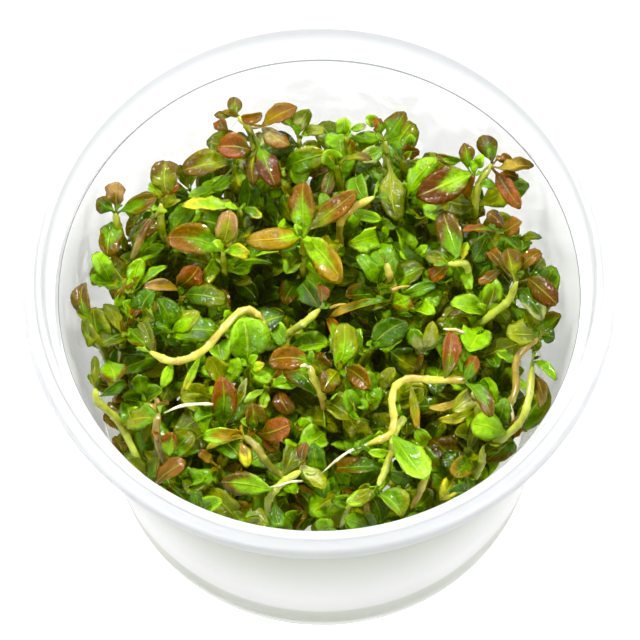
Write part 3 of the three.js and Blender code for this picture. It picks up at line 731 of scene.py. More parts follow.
        (156, 484, 186, 462, 57, 3.8, "brown", "rust", 0.5),
        (167, 474, 171, 488, 52, 2.8, "deep", "moss", 0.2),
        (158, 442, 152, 431, 57.5, 1.4, "pink", "rust", 0.3),
    ]),
    ("pale", [(141, 462, 46), (124, 431, 50), (114, 416, 53), (97, 400, 57), (95, 388, 58)], [
        (95, 384, 95, 356, 59.5, 1.6, "olive", "moss", 0.3),
        (101, 396, 125, 381, 57, 1.8, "deep", "dark", 0.2),
        (128, 440, 118, 442, 48, 3, "brown", "olive", 0.4),
    ]),
    ("straw", [(144, 445, 38), (142, 435, 44), (140, 427, 49)], [
        (139, 424, 128, 408, 53, 3.2, "fresh", "lime", 0.2),
        (136, 426, 108, 402, 47, 3.2, "silver", "brown", 0.4, 180),
        (146, 424, 148, 402, 50, 2.4, "moss", "tan", 0.4),
    ]),
    ("cream", [(263, 326, 56.5), (259, 317, 58), (250, 310, 59), (240, 312, 59.5), (222, 330, 60),
        (205, 349, 60), (187, 359, 60), (170, 361, 59.5), (150, 352, 58.5)], [
        (172, 362, 162, 388, 57, 2, "fresh", "lime", 0.2),
        (152, 352, 141, 321, 58, 2, "moss", "moss", 0.4, 20),
        (200, 356, 184, 391, 56, 1.4, "lime", "yellow", 0.2),
    ]),
    ("straw", [(122, 372, 40), (122, 350, 48), (124, 333, 54)], [
        (128, 329, 155, 351, 57, 3.8, "green", "brown", 0.45),
        (127, 326, 142, 303, 56, 1.6, "brown", "red", 0.4),
        (120, 330, 104, 304, 55, 3, "olive", "moss", 0.3),
    ]),
    ("straw", [(112, 375, 46), (104, 352, 52), (95, 337, 56), (88, 323, 58)], [
        (88, 316, 84, 283, 60.5, 3.2, "green", "brown", 0.65),
        (92, 332, 88, 347, 56, 1.8, "olive", "moss", 0.2),
    ]),
    ("straw", [(224, 452, 40), (222, 440, 47), (221, 429, 51)], [
        (221, 422, 222, 376, 60, 4.6, "green", "red", 0.4),
        (208, 432, 190, 406, 56, 5, "fresh", "lime", 0.2),
        (234, 410, 247, 378, 57, 1.6, "olive", "silver", 0.3),
    ]),
    ("pale", [(257, 448, 42), (255, 438, 48), (253, 429, 53)], [
        (252, 425, 252, 403, 57, 3.4, "green", "brown", 0.5),
        (250, 428, 240, 421, 55, 1.8, "fresh", "lime", 0.2),
        (262, 434, 291, 424, 56, 4.2, "brown", "red", 0.5),
        (262, 438, 279, 450, 53, 3, "wine", "brown", 0.3),
    ]),
    ("straw", [(482, 432, 42), (479, 418, 50), (477, 404, 54)], [
        (474, 402, 452, 412, 57, 3.4, "silver", "olive", 0.4),
        (462, 398, 429, 408, 58.5, 1.4, "tan", "tan", 0.2),
        (472, 412, 438, 420, 52, 1.8, "olive", "yellow", 0.4),
    ]),
]

lyingShoots = (34, 35, 36, 37, 39, 40, 45)  # these lie on the canopy, and the others are rooted

# Roots and cut stems that show between the leaves: the shoot they grow on, their colour and
# radius in mm, and picture points with heights
loosePieces = [
    (47, "white", 0.26, [(213, 404, 57.5), (200, 404, 58), (181, 406, 58.5), (164, 413, 58)]),
    (34, "white", 0.24, [(368, 444, 56.5), (350, 451, 57), (337, 460, 56), (322, 473, 54.5)]),
    (36, "white", 0.27, [(510, 405, 53), (513, 418, 53), (511, 430, 51.5), (504, 443, 50)]),
    (39, "white", 0.2, [(303, 481, 58), (290, 482, 58.5), (278, 486, 58), (270, 487, 57.5)]),
    (30, "white", 0.3, [(310, 367, 58), (305, 365, 58.5), (299, 367, 58)]),
    (35, "cream", 0.6, [(425, 478, 57), (419, 494, 54), (411, 509, 50)]),
    (35, "pale", 0.55, [(351, 504, 55.5), (346, 514, 53), (340, 527, 49)]),
    (35, "cream", 0.5, [(366, 504, 55.5), (368, 516, 54), (374, 524, 51)]),
    (36, "white", 0.3, [(464, 333, 57.5), (455, 330, 58), (443, 329, 58)]),
    (13, "white", 0.26, [(330, 308, 56), (338, 305, 57), (346, 304, 57)]),
    (25, "white", 0.26, [(392, 290, 58), (401, 287, 58), (410, 286, 57)]),
]


# Leaf and stem colours

plantTones = {
    "lime": "#83ad16",
    "fresh": "#76a507",
    "green": "#558004",
    "deep": "#345a05",
    "dark": "#264006",
    "olive": "#6e7602",
    "moss": "#4e5a02",
    "yellow": "#aca816",
    "orange": "#846604",
    "rust": "#6c4203",
    "brown": "#543b03",
    "red": "#723703",
    "wine": "#4e2403",
    "pink": "#8a683c",
    "silver": "#989c58",
    "tan": "#98802f",
    "straw": "#989e2a",
    "pale": "#a6b23c",
    "cream": "#b2ac42",
    "blush": "#8c7a3c",
    "white": "#d2cba8",
}

leafLook = {
    "sideVeins": 8.0,  # on a blade of 8 mm, about 1 mm apart
    "veinSlant": -5.0,
    "veinStart": 20.0,  # keeps the count of veins above zero
    "sideVeinHalf": (0.02, 0.13),  # full and faded, as shares of the space between two veins
    "sideVeinShow": 0.16,
    "midribHalf": (0.012, 0.05),  # full and faded, as shares of the leaf's width
    "veinColour": "#ccd838",
    "veinShow": 0.22,
    "veinDepth": -0.35,
    "edgeReach": 0.95,  # how much nearness to an edge counts for the flush, beside the tip
    "patchReach": 0.6,
    "flushEdge": (1.25, 1.62),  # from none to full
    "mottle": (0.72, 1.18),
    "roughness": (0.05, 0.2),
    "noiseSpan": (0.3, 0.7),  # most of what the noise gives
    "reliefDepth": 0.45,  # mm
}
noiseLow, noiseHigh = leafLook["noiseSpan"]

# Ludwigia leaf, grown under glass: thin and wet, green and red, with paler veins
leafSkin, tree, shader = newMaterial("wetLudwigiaLeaf")
leafPlace = addNode(tree, "UVMap", uv_map="leafMap")
split = addNode(tree, "SeparateXYZ", {"Vector": leafPlace.outputs["UV"]})
fromMiddle = addNode(tree, "Math", {0: split.outputs["X"], 1: 0.5}, operation="SUBTRACT")
across = addNode(tree, "Math", {0: fromMiddle}, operation="ABSOLUTE")
slant = addNode(tree, "Math", {
    0: across, 1: leafLook["veinSlant"], 2: leafLook["veinStart"],
}, operation="MULTIPLY_ADD")
phase = addNode(tree, "Math", {
    0: split.outputs["Y"], 1: leafLook["sideVeins"], 2: slant,
}, operation="MULTIPLY_ADD")
toVein = addNode(tree, "Math", {0: phase, 1: 0.5}, operation="PINGPONG")
full, faded = leafLook["sideVeinHalf"]
sideVeins = addNode(tree, "MapRange", {
    "Value": toVein, "From Min": full, "From Max": faded,
    "To Min": leafLook["sideVeinShow"], "To Max": 0.0,
})
full, faded = leafLook["midribHalf"]
midrib = addNode(tree, "MapRange", {
    "Value": across, "From Min": full, "From Max": faded, "To Min": 1.0, "To Max": 0.0,
})
veins = addNode(tree, "Math", {0: sideVeins, 1: midrib}, operation="MAXIMUM")
place = addNode(tree, "TexCoord")
blotches = addNode(tree, "TexNoise", {
    "Vector": place.outputs["Object"],
    "Scale": 420.0,  # patches about 2.5 mm across
    "Detail": 3.0,
})
grain = addNode(tree, "TexNoise", {
    "Vector": place.outputs["Object"],
    "Scale": 900.0,  # the leaf puckers between its veins, about 1.1 mm apart
    "Detail": 2.5,
})
tone = addNode(tree, "Attribute", attribute_name="tone")
flush = addNode(tree, "Attribute", attribute_name="flush")
# the flush of red starts at the tip and the edges
edgeReach = addNode(tree, "Math", {
    0: across, 1: leafLook["edgeReach"], 2: split.outputs["Y"],
}, operation="MULTIPLY_ADD")
patchReach = addNode(tree, "Math", {
    0: blotches, 1: leafLook["patchReach"], 2: edgeReach,
}, operation="MULTIPLY_ADD")
flushReach = addNode(tree, "Math", {0: patchReach, 1: flush.outputs["Alpha"]}, operation="ADD")
flushStart, flushFull = leafLook["flushEdge"]
flushShare = addNode(tree, "MapRange", {
    "Value": flushReach, "From Min": flushStart, "From Max": flushFull,
}, interpolation_type="SMOOTHSTEP")
flushed = addNode(tree, "Mix", {
    "Factor": flushShare, 6: tone.outputs["Color"], 7: flush.outputs["Color"],
}, data_type="RGBA")
darkest, lightest = leafLook["mottle"]
mottle = addNode(tree, "MapRange", {
    "Value": grain, "From Min": noiseLow, "From Max": noiseHigh,
    "To Min": darkest, "To Max": lightest,
})
mottled = addNode(tree, "Mix", {
    "Factor": 1.0, 6: flushed, 7: mottle,
}, data_type="RGBA", blend_type="MULTIPLY")
veinShow = addNode(tree, "Math", {0: veins, 1: leafLook["veinShow"]}, operation="MULTIPLY")
veined = addNode(tree, "Mix", {
    "Factor": veinShow, 6: mottled, 7: linearColour(leafLook["veinColour"]),
}, data_type="RGBA")
sunken = addNode(tree, "Math", {
    0: veins, 1: leafLook["veinDepth"], 2: grain,
}, operation="MULTIPLY_ADD")
relief = addNode(tree, "Bump", {
    "Height": sunken, "Strength": 0.9, "Distance": leafLook["reliefDepth"] * mm,
})
wettest, driest = leafLook["roughness"]
wetness = addNode(tree, "MapRange", {
    "Value": blotches, "From Min": noiseLow, "From Max": noiseHigh,
    "To Min": wettest, "To Max": driest,
})
setInputs(tree, shader, {
    "Base Color": veined,
    "Roughness": wetness,
    "Normal": relief,
    "IOR": 1.4,
    "Specular IOR Level": 0.36,
    "Subsurface Weight": 0.15,
    "Subsurface Radius": (0.7, 1.0, 0.1),
    "Subsurface Scale": 1.0 * mm,
})

stemLook = {
    "streaks": (0.78, 1.2),
    "stretchEdge": (0.42, 0.62),
    "reliefDepth": 0.1,  # mm
}

# young stem, grown: round and juicy, with fine marks and stretches of another colour
stemSkin, tree, shader = newMaterial("juicyYoungStem")
place = addNode(tree, "TexCoord")
stemTone = addNode(tree, "Attribute", attribute_name="tone")
streaks = addNode(tree, "TexNoise", {
    "Vector": place.outputs["Object"],
    "Scale": 700.0,  # marks about 1.4 mm apart
    "Detail": 4.0,
})
darkest, lightest = stemLook["streaks"]
streakShade = addNode(tree, "MapRange", {
    "Value": streaks, "From Min": noiseLow, "From Max": noiseHigh,
    "To Min": darkest, "To Max": lightest,
})
stretches = addNode(tree, "TexNoise", {
    "Vector": place.outputs["Object"],
    "Scale": 150.0,  # the colour changes every 7 mm or so
    "Detail": 1.0,
})
stretchStart, stretchFull = stemLook["stretchEdge"]
stretchShare = addNode(tree, "MapRange", {
    "Value": stretches, "From Min": stretchStart, "From Max": stretchFull,
}, interpolation_type="SMOOTHSTEP")
stemFlush = addNode(tree, "Attribute", attribute_name="flush")
stretched = addNode(tree, "Mix", {
    "Factor": stretchShare, 6: stemTone.outputs["Color"], 7: stemFlush.outputs["Color"],
}, data_type="RGBA")
streaked = addNode(tree, "Mix", {
    "Factor": 1.0, 6: stretched, 7: streakShade,
}, data_type="RGBA", blend_type="MULTIPLY")
stemRelief = addNode(tree, "Bump", {
    "Height": streaks, "Strength": 0.4, "Distance": stemLook["reliefDepth"] * mm,
})
setInputs(tree, shader, {
    "Base Color": streaked,
    "Roughness": 0.22,
    "Normal": stemRelief,
    "IOR": 1.42,
    "Coat Weight": 0.5,
    "Coat Roughness": 0.1,
    "Subsurface Weight": 0.2,
    "Subsurface Radius": (1.0, 1.0, 0.4),
    "Subsurface Scale": 1.0 * mm,
})
print("leaf and stem materials made")


# How the plants are made up

plants = {
    "stemRadius": 0.65,
    "stemSides": 10,
    "stemFlush": {
        "straw": "olive", "pale": "straw", "cream": "tan", "tan": "olive", "blush": "rust",
        "white": "tan",
    },
    "stemWobble": 0.06,
    "tipTaper": (0.4, 0.62, 0.8, 0.92),  # radius shares of the last places, from the tip back
    "footPull": 0.8,  # a stem's foot stands nearer to the cup's middle
    "seed": 7,
    # kinds of leaf: length, stalk and gap to the wall in mm, and half width as a share of length
    "lowLeaf": {
        "length": (6.5, 10.5), "rise": (0.0, 0.8), "stalk": (0.8, 1.6), "half": (0.21, 0.31),
        "gap": 0.8, "flush": 0.3,
    },
    "oldLeaf": {
        "length": (8.0, 13.0), "rise": (0.0, 0.5), "stalk": 2.0, "half": (0.22, 0.32),
        "gap": 2.5, "frontGap": 0.8, "flush": 0.4, "shade": 0.8,
    },
    "twigLeaf": {
        "length": (6.8, 11.5), "rise": (0.1, 0.9), "stalk": 1.0, "half": (0.2, 0.3),
        "gap": 0.8, "flush": 0.3,
    },
    # young leaves round a tip: length as a share of the cluster's size, stalk of their length
    "tipLeaf": {
        "length": (0.7, 1.15), "lean": (0.5, 1.2), "along": 0.8, "rise": 0.25, "stalk": 0.12,
        "half": (0.2, 0.28), "gap": 0.6, "flush": 0.35, "facingRise": 0.6, "jitter": (-0.3, 0.3),
    },
    "tipSize": 2.8,
    "tipCount": 2,
    "twigTipSize": 6.4,
    "twigTipCount": 3,
    # leaves lower on the stems, in pairs that turn by a right angle from one to the next
    "pairSpacing": 4.2,
    "pairJitter": (-0.4, 0.4),
    "lowestPair": 28.0,
    "pairsEndBelowTip": 6.0,
    # low leaves turn from dark to bright tones over this height, partly their own colour and
    # partly painted shade, and a painted shade, darkest low down, is lifted with it
    "brightSpan": 30.0,
    "lowShade": (0.7, 0.3),
    # large leaves spread just over the gel, which they hide, darkened by a painted shade
    "oldLeafHeight": 32.0,
    "oldLeafCount": 6,
    "oldJitter": (-0.5, 0.5),
    "frontFrom": -25.0,
    "oldTones": ["deep", "moss", "green", "olive", "brown"],
    "lowTones": ["dark", "deep", "deep", "moss", "brown", "green"],
    "highTones": ["green", "deep", "green", "fresh", "deep", "olive", "moss"],
    "flushTones": ["fresh", "olive", "green", "brown", "dark", "moss"],
    # side twigs, which fill the stand between the main stems on a loose grid
    "twigSpacing": 8.0,
    "twigRowStep": 0.87,
    "twigJitter": (-0.3, 0.3),
    "gridReach": 40,
    "twigReach": 24.0,
    "twigForkHeight": (28.0, 38.0),
    "twigTipHeight": (43.0, 53.5),
    # painted shade on twig leaves, lifted with height
    "twigShadeSpan": (30, 22),  # from this height the shade is lifted, over this span
    # picture points that stay open: x, y, radius in mm, and the greatest twig height there
    "openHeight": 50,
    "openPlaces": [
        (300, 285, 9, 38), (190, 212, 5, 0), (226, 186, 4, 0), (345, 176, 4, 0),
        (481, 196, 4, 0), (184, 255, 4, 0), (438, 450, 5, 42), (118, 420, 6, 42),
        (522, 400, 6, 44),
    ],
    "twigRadius": 0.45,
    "twigBow": 0.15,
    "twigDip": 0.1,
    "twigPairs": (0.55, 0.8),  # places of its leaf pairs along a twig
    "twigGap": 2.5,
    "nearestTwig": 2.0,
    "backEdge": 31.0,
    # a close row of twigs along the front wall, between two directions in degrees
    "frontTwigs": 25,
    "frontJitter": (0.2, 0.8),
    "frontTurn": (-145, -50),
    "frontTwigHeight": (39.0, 53.0),
    "frontGap": (0.9, 2.8),
    "nodeSteps": 7,
    "nodeSwelling": 1.2,
    "rootCount": 3,
    "rootRadius": 0.22,
    "rootDepth": (6.0, 17.0),
    "rootReach": (3.0, 9.0),
    "rootBend": (-2, 2),
    "rootGap": 1.0,
    "rootSides": 6,
    "looseSides": 8,
    "mouth": (319.5, 296, 258, 241),  # the cup's mouth in the picture: middle and half axes
    # the cup's inside: radius and height at the floor, and how both grow up to the step
    "inside": (37.8, 1.2, 6.1, 61.5),
}


def smoothLine(points, steps=8):
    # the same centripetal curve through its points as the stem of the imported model
    ends = [points[0] * 2 - points[1], *points, points[-1] * 2 - points[-2]]
    line = []
    for p0, p1, p2, p3 in zip(ends, ends[1:], ends[2:], ends[3:]):
        t0, t1, t2 = ((b - a).length ** 0.5 for a, b in ((p0, p1), (p1, p2), (p2, p3)))
        tangentA = ((p1 - p0) / t0 - (p2 - p0) / (t0 + t1) + (p2 - p1) / t1) * t1
        tangentB = ((p2 - p1) / t1 - (p3 - p1) / (t1 + t2) + (p3 - p2) / t2) * t1
        for step in range(steps):
            t = step / steps
            line.append(
                p1 * (2 * t ** 3 - 3 * t ** 2 + 1) + tangentA * (t ** 3 - 2 * t ** 2 + t)
                + p2 * (3 * t ** 2 - 2 * t ** 3) + tangentB * (t ** 3 - t ** 2))
    line.append(points[-1].copy())
    return line


def colourPoints(mesh, name, colours):
    layer = mesh.color_attributes.new(name, "FLOAT_COLOR", "POINT")
    layer.data.foreach_set("color", np.asarray(colours, dtype=np.float32).ravel())


def tube(name, line, radii, sides):
    curve = bpy.data.curves.new(name, "CURVE")
    curve.dimensions = "3D"
    curve.bevel_depth = 1.0
    curve.bevel_resolution = sides // 2 - 1
    curve.use_fill_caps = True
    spline = curve.splines.new("POLY")
    spline.points.add(len(line) - 1)
    for point, place, radius in zip(spline.points, line, radii):
        point.co = (*place, 1)
        point.radius = radius
    piece = bpy.data.objects.new(name, curve)
    bpy.context.scene.collection.objects.link(piece)
    pick(piece)
    bpy.ops.object.convert(target="MESH")
    bpy.ops.object.mode_set(mode="EDIT")
    bpy.ops.mesh.select_all(action="SELECT")
    bpy.ops.mesh.remove_doubles(threshold=1e-7)
    bpy.ops.mesh.normals_make_consistent(inside=False)
    bpy.ops.object.mode_set(mode="OBJECT")
    bpy.ops.object.shade_smooth()
    return bpy.context.object


def bentLeaf(root, start, tip, facing, half, manner):
    # the flat leaf laid from root over start to tip, folded, arched, twisted and waved
    across, row, skin = leafRest.T
    row = (row + 1) / 2 * rows
    blunt = widths[np.rint(row).astype(int)] ** (manner["point"] - 1)
    across = across * np.where(row > leafForm["stalkRows"], blunt, 1)
    alongStalk = np.clip(row / leafForm["stalkRows"], 0, 1)[:, None]
    along = np.clip((row - leafForm["stalkRows"]) / leafForm["bladeRows"], 0, 1)[:, None]
    root, start, tip, facing = (np.array(p, dtype=float) for p in (root, start, tip, facing))
    length = np.linalg.norm(tip - start)
    line = (tip - start) / length
    facing = facing - line * facing.dot(line)
    facing = facing / np.linalg.norm(facing)
    side = np.cross(facing, line)
    hump = 4 * along * (1 - along)
    centre = root + (start - root) * alongStalk + (tip - start) * along
    centre = centre + facing * (manner["arch"] * length * hump)
    centre = centre + side * (manner["sweep"] * length * hump)
    normal = facing - line * (manner["arch"] * 4 * (1 - 2 * along))
    normal = normal / np.linalg.norm(normal, axis=1)[:, None]
    angle = manner["twist"] * (along - leafForm["twistCentre"])
    sideways = side * np.cos(angle) + normal * np.sin(angle)
    normal = normal * np.cos(angle) - side * np.sin(angle)
    across, skin = across[:, None], skin[:, None]
    roundness, depth = leafForm["crease"]
    lift = manner["fold"] * (np.sqrt(across ** 2 + roundness) - depth)
    lift = lift - manner["cup"] * across ** 2
    ripple = np.sin(2 * math.pi * (manner["waves"] * along + manner["phase"])
                    + np.sign(across))
    lift = (lift + manner["wave"] * ripple * across ** 2) * half
    lift = lift * np.minimum(along * leafForm["footReach"], 1)
    thick = np.where(along > 0, leafForm["bladeThickness"], leafForm["stalkThickness"])
    return centre + sideways * across * half + normal * (lift + skin * thick / 2 * mm)


def leafCopy(root, start, tip, facing, half, manner, tones, share):
    mesh = leafPattern.data.copy()
    co = bentLeaf(root, start, tip, facing, half, manner)
    mesh.vertices.foreach_set("co", co.astype(np.float32).ravel())
    top, flushColour = (np.array(linearColour(plantTones[t])) for t in tones)
    # shade is a random tone of each leaf, and for leaves low in the stand also a painted shade
    top[:3] *= manner["shade"]
    paler = leafForm["underShare"]
    under = top * (1 - paler) + np.array(linearColour(leafForm["underColour"])) * paler
    skin = np.clip(leafRest[:, 2:3] * 0.5 + 0.5, 0, 1)
    colourPoints(mesh, "tone", top * skin + under * (1 - skin))
    flushColour[3] = share
    colourPoints(mesh, "flush", np.tile(flushColour, (len(co), 1)))
    mesh.materials.clear()
    mesh.materials.append(leafSkin)
    piece = bpy.data.objects.new("leaf", mesh)
    bpy.context.scene.collection.objects.link(piece)
    return piece


def leafManner(dice, shade=1.0):
    manner = {name: dice.uniform(*ends) for name, ends in leafForm["ranges"].items()}
    for name in ("tilt", "twist"):
        manner[name] = math.radians(manner[name])
    manner["shade"] *= shade
    return manner


def innerRadius(height):
    radius, floorHeight, growth, rise = plants["inside"]
    return (radius + (height / mm - floorHeight) / rise * growth) * mm


def hasRoom(tip, gap):
    # a leaf ends short of the cup's wall, and within the mouth as the picture shows it
    if math.hypot(tip.x, tip.y) > innerRadius(tip.z) - gap * mm:
        return False
    mouthX, mouthY, radiusX, radiusY = plants["mouth"]
    x, y = toPicture(tip)
    return ((x - mouthX) / radiusX) ** 2 + ((y - mouthY) / radiusY) ** 2 < 1


def listedLeaf(row, line, dice):
    row = (*row, 0)[:10]  # most leaves have no turn
    startX, startY, tipX, tipY, height, width, toneName, flushName, share, turn = row
    tip = fromPicture(tipX, tipY, height)
    target = fromPicture(startX, startY, height)
    root = min(line[1:-1], key=lambda p: (p - target).length)
    startHeight = root.z + leafForm["stalkRise"] * (tip.z - root.z)
    start = fromPicture(startX, startY, startHeight / mm)
    toTip = (tip - root).normalized()
    facing = backward + upward
    facing = (facing - toTip * facing.dot(toTip)).normalized()
    manner = leafManner(dice)
    facing = Quaternion(toTip, math.radians(turn) + manner["tilt"]) @ facing
    half = width * mm / 2 / math.cos(manner["tilt"])
    return leafCopy(root, start, tip, facing, half, manner, (toneName, flushName), share)


def reachOut(point, way, kind, dice):
    # a leaf's length, its heading from its stem, and its tip
    length = dice.uniform(*kind["length"]) * mm
    out = Vector((math.cos(way), math.sin(way), dice.uniform(*kind["rise"]))).normalized()
    return length, out, point + out * length


# painted shade: a leaf is darker the lower it stands
def liftedShade(share):
    darkest, gain = plants["lowShade"]
    return darkest + gain * share


def lowLeaves(line, dice):
    leaves = []
    kind = plants["lowLeaf"]
    top = line[-1].z
    turn = dice.uniform(0, math.pi)
    nextHeight = plants["lowestPair"] * mm
    for point in line:
        if point.z < nextHeight or point.z > top - plants["pairsEndBelowTip"] * mm:
            continue
        nextHeight = point.z + plants["pairSpacing"] * mm
        turn += math.pi / 2 + dice.uniform(*plants["pairJitter"])
        share = (point.z / mm - gel["height"]) / plants["brightSpan"]
        for way in (turn, turn + math.pi):
            length, out, tip = reachOut(point, way, kind, dice)
            if not hasRoom(tip, kind["gap"]):
                continue
            # darker tones low down: partly the leaves' own colour, partly painted shade
            names = plants["highTones"] if dice.random() < share else plants["lowTones"]
            tones = (dice.choice(names), dice.choice(plants["flushTones"]))
            start = point + out * dice.uniform(*kind["stalk"]) * mm
            half = length * dice.uniform(*kind["half"])
            manner = leafManner(dice, liftedShade(share))
            leaves.append(leafCopy(point, start, tip, upward, half, manner, tones, kind["flush"]))
    return leaves


def oldLeaves(line, dice):
    leaves = []
    kind = plants["oldLeaf"]
    feet = [p for p in line if p.z < plants["oldLeafHeight"] * mm]
    turn = dice.uniform(0, math.pi)
    for number in range(plants["oldLeafCount"]):
        point = feet[-1 - number % len(feet)]
        turn += 2 * math.pi / plants["oldLeafCount"] + dice.uniform(*plants["oldJitter"])
        length, out, tip = reachOut(point, turn, kind, dice)
        atFront = tip.y < plants["frontFrom"] * mm
        if not hasRoom(tip, kind["frontGap" if atFront else "gap"]):
            continue
        tones = (dice.choice(plants["oldTones"]), dice.choice(plants["oldTones"]))
        start = point + out * kind["stalk"] * mm
        half = length * dice.uniform(*kind["half"])
        # painted shade: old leaves low in the stand are darkened
        manner = leafManner(dice, kind["shade"])
        leaves.append(leafCopy(point, start, tip, upward, half, manner, tones, kind["flush"]))
    return leaves


def tipLeaves(line, dice, toneNames, size, count):
    # a small cluster of young leaves round the end of a stem or twig
    leaves = []
    kind = plants["tipLeaf"]
    axis = (line[-1] - line[-3]).normalized()
    out = axis.orthogonal().normalized()
    facing = axis + upward * kind["facingRise"]
    turn = dice.uniform(0, math.pi)
    for number in range(count):
        turn += math.pi if number % 2 else math.pi / 2 + dice.uniform(*kind["jitter"])
        way = Quaternion(axis, turn) @ out
        lean = dice.uniform(*kind["lean"])
        heading = (way * lean + axis * kind["along"] + upward * kind["rise"]).normalized()
        length = size * mm * dice.uniform(*kind["length"])
        start = line[-1] + heading * kind["stalk"] * length
        tip = line[-1] + heading * length
        if not hasRoom(tip, kind["gap"]):
            continue
        tones = (dice.choice(toneNames), dice.choice(toneNames))
        half = length * dice.uniform(*kind["half"])
        manner = leafManner(dice)
        leaves.append(leafCopy(line[-1], start, tip, facing, half, manner, tones, kind["flush"]))
    return leaves


def stemPiece(toneName, line, radius, sides=plants["stemSides"]):
    wobble = plants["stemWobble"]
    radii = [radius * mm * (1 + wobble * math.sin(i * 0.9)) for i in range(len(line))]
    # a stem swells where a pair of leaves grew
    for number in range(3, len(line) - 4, plants["nodeSteps"]):
        radii[number] *= plants["nodeSwelling"]
    for number, share in enumerate(plants["tipTaper"], 1):
        radii[-number] *= share
    stem = tube("stem", line, radii, sides)
    count = len(stem.data.vertices)
    names = (toneName, plants["stemFlush"][toneName])
    for layer, name in zip(("tone", "flush"), names):
        colourPoints(stem.data, layer, np.tile(linearColour(plantTones[name]), (count, 1)))
    stem.data.materials.append(stemSkin)
    return stem


def twigParts(toneName, line, target, dice):
    # a thin side twig from the stem to a target, with pairs of leaves and a tip cluster
    kind = plants["twigLeaf"]
    low, high = (h * mm for h in plants["twigForkHeight"])
    forks = [p for p in line[1:-1] if low < p.z < high] or [line[len(line) // 3]]
    fork = dice.choice(forks)
    side = target - fork
    middle = fork + side * 0.5 + Vector((side.x, side.y, 0)) * plants["twigBow"]
    middle -= upward * (plants["twigDip"] * side.z)
    twig = smoothLine([fork, middle, target], steps=5)
    parts = [stemPiece(toneName, twig, plants["twigRadius"])]
    names = plants["highTones"]
    lowest, rise = plants["twigShadeSpan"]
    turn = dice.uniform(0, math.pi)
    for place in plants["twigPairs"]:
        point = twig[round(place * (len(twig) - 1))]
        turn += math.pi / 2
        for way in (turn, turn + math.pi):
            length, out, tip = reachOut(point, way, kind, dice)
            if not hasRoom(tip, kind["gap"]):
                continue
            tones = (dice.choice(names), dice.choice(plants["flushTones"]))
            start = point + out * kind["stalk"] * mm
            half = length * dice.uniform(*kind["half"])
            # painted shade: twig leaves lower down are darker
            manner = leafManner(dice, liftedShade(min(1, (tip.z / mm - lowest) / rise)))
            parts.append(leafCopy(point, start, tip, upward, half, manner, tones, kind["flush"]))
    parts += tipLeaves(twig, dice, names, plants["twigTipSize"], plants["twigTipCount"])
    return parts


def gelRoots(line, dice):
    # fine roots, from the stem's foot down through the gel
    roots = []
    low, high = plants["rootDepth"]
    for number in range(plants["rootCount"]):
        turn = dice.uniform(0, 2 * math.pi)
        out = Vector((math.cos(turn), math.sin(turn), 0))
        end = line[0] + out * dice.uniform(*plants["rootReach"]) * mm
        end.z = dice.uniform(low, high) * mm
        if end.xy.length > innerRadius(end.z) - plants["rootGap"] * mm:
            continue
        middle = line[0].lerp(end, 0.5) + out * dice.uniform(*plants["rootBend"]) * mm
        root = smoothLine([line[0], middle, end], steps=5)
        roots.append(stemPiece("white", root, plants["rootRadius"], plants["rootSides"]))
    return roots


stemLines = []
for number, (toneName, stem, leaves) in enumerate(shoots, 1):
    points = [fromPicture(*place) for place in stem]
    if number not in lyingShoots:
        foot = points[0] * plants["footPull"]
        foot.z = gel["height"] * mm
        points.insert(0, foot)
    stemLines.append(smoothLine(points))


def nearestStem(target):
    # how far the nearest rooted stem is, seen from above, and its number
    return min(
        (min((p - target).xy.length for p in line if p.z < target.z), number)
        for number, line in enumerate(stemLines, 1) if number not in lyingShoots)


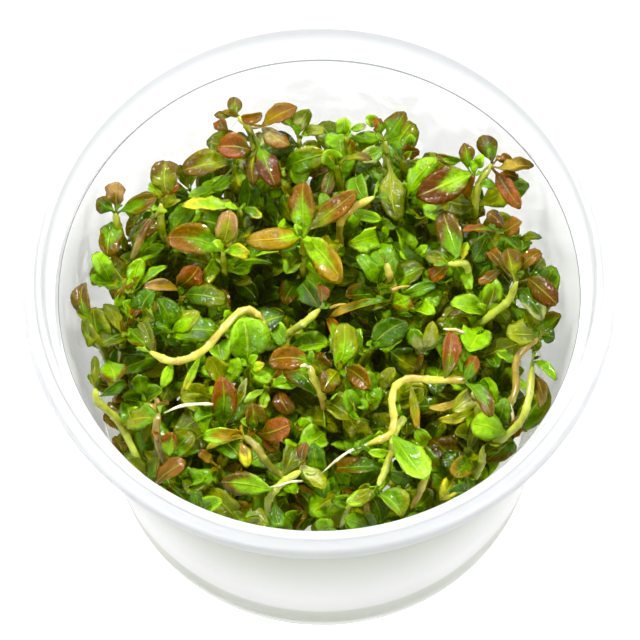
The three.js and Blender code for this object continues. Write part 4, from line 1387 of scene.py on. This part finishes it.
# every place of a loose grid over the stand gets a twig from the nearest rooted stem
twigTargets = {number: [] for number in range(1, len(shoots) + 1)}
dice = random.Random(plants["seed"])
spacing = plants["twigSpacing"]
jitter = plants["twigJitter"]
reach = math.ceil(plants["gridReach"] / spacing)
for column in range(-reach, reach + 1):
    for row in range(-reach, reach + 1):
        x = (column + (row % 2) / 2 + dice.uniform(*jitter)) * spacing * mm
        y = (row * plants["twigRowStep"] + dice.uniform(*jitter)) * spacing * mm
        z = dice.uniform(*plants["twigTipHeight"]) * mm
        outside = math.hypot(x, y) > innerRadius(z) - plants["twigGap"] * mm
        if outside or y > plants["backEdge"] * mm:
            continue
        for pixelX, pixelY, radius, height in plants["openPlaces"]:
            place = fromPicture(pixelX, pixelY, plants["openHeight"])
            if (place.xy - Vector((x, y))).length < radius * mm:
                z = min(z, height * mm)
        if z == 0:
            continue
        target = Vector((x, y, z))
        distance, number = nearestStem(target)
        if plants["nearestTwig"] * mm < distance < plants["twigReach"] * mm:
            twigTargets[number].append(target)

left, right = plants["frontTurn"]
for number in range(plants["frontTwigs"]):
    place = number + dice.uniform(*plants["frontJitter"])
    turn = math.radians(left + (right - left) * place / plants["frontTwigs"])
    z = dice.uniform(*plants["frontTwigHeight"]) * mm
    away = innerRadius(z) - dice.uniform(*plants["frontGap"]) * mm
    target = Vector((math.cos(turn) * away, math.sin(turn) * away, z))
    twigTargets[nearestStem(target)[1]].append(target)

for number, ((toneName, stem, leaves), line) in enumerate(zip(shoots, stemLines), 1):
    dice = random.Random(plants["seed"] * 1000 + number)
    parts = [stemPiece(toneName, line, plants["stemRadius"])]
    parts += [listedLeaf(row, line, dice) for row in leaves]
    if number not in lyingShoots:
        parts += lowLeaves(line, dice) + oldLeaves(line, dice) + gelRoots(line, dice)
    for target in twigTargets[number]:
        parts += twigParts(toneName, line, target, dice)
    toneNames = [row[6] for row in leaves]
    parts += tipLeaves(line, dice, toneNames, plants["tipSize"], plants["tipCount"])
    for owner, looseTone, radius, places in loosePieces:
        if owner == number:
            loose = smoothLine([fromPicture(*place) for place in places], steps=5)
            parts.append(stemPiece(looseTone, loose, radius, plants["looseSides"]))
    pick(*parts)
    bpy.ops.object.join()
    plant = bpy.context.object
    plant.name = f"ludwigiaShoot{number:02d}"
    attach(plant, "root")
    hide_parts(f"shoot_{number:02d}")
bpy.data.objects.remove(leafPattern)
twigCount = sum(len(targets) for targets in twigTargets.values())
print("shoots made:", len(shoots), "with", twigCount, "twigs")
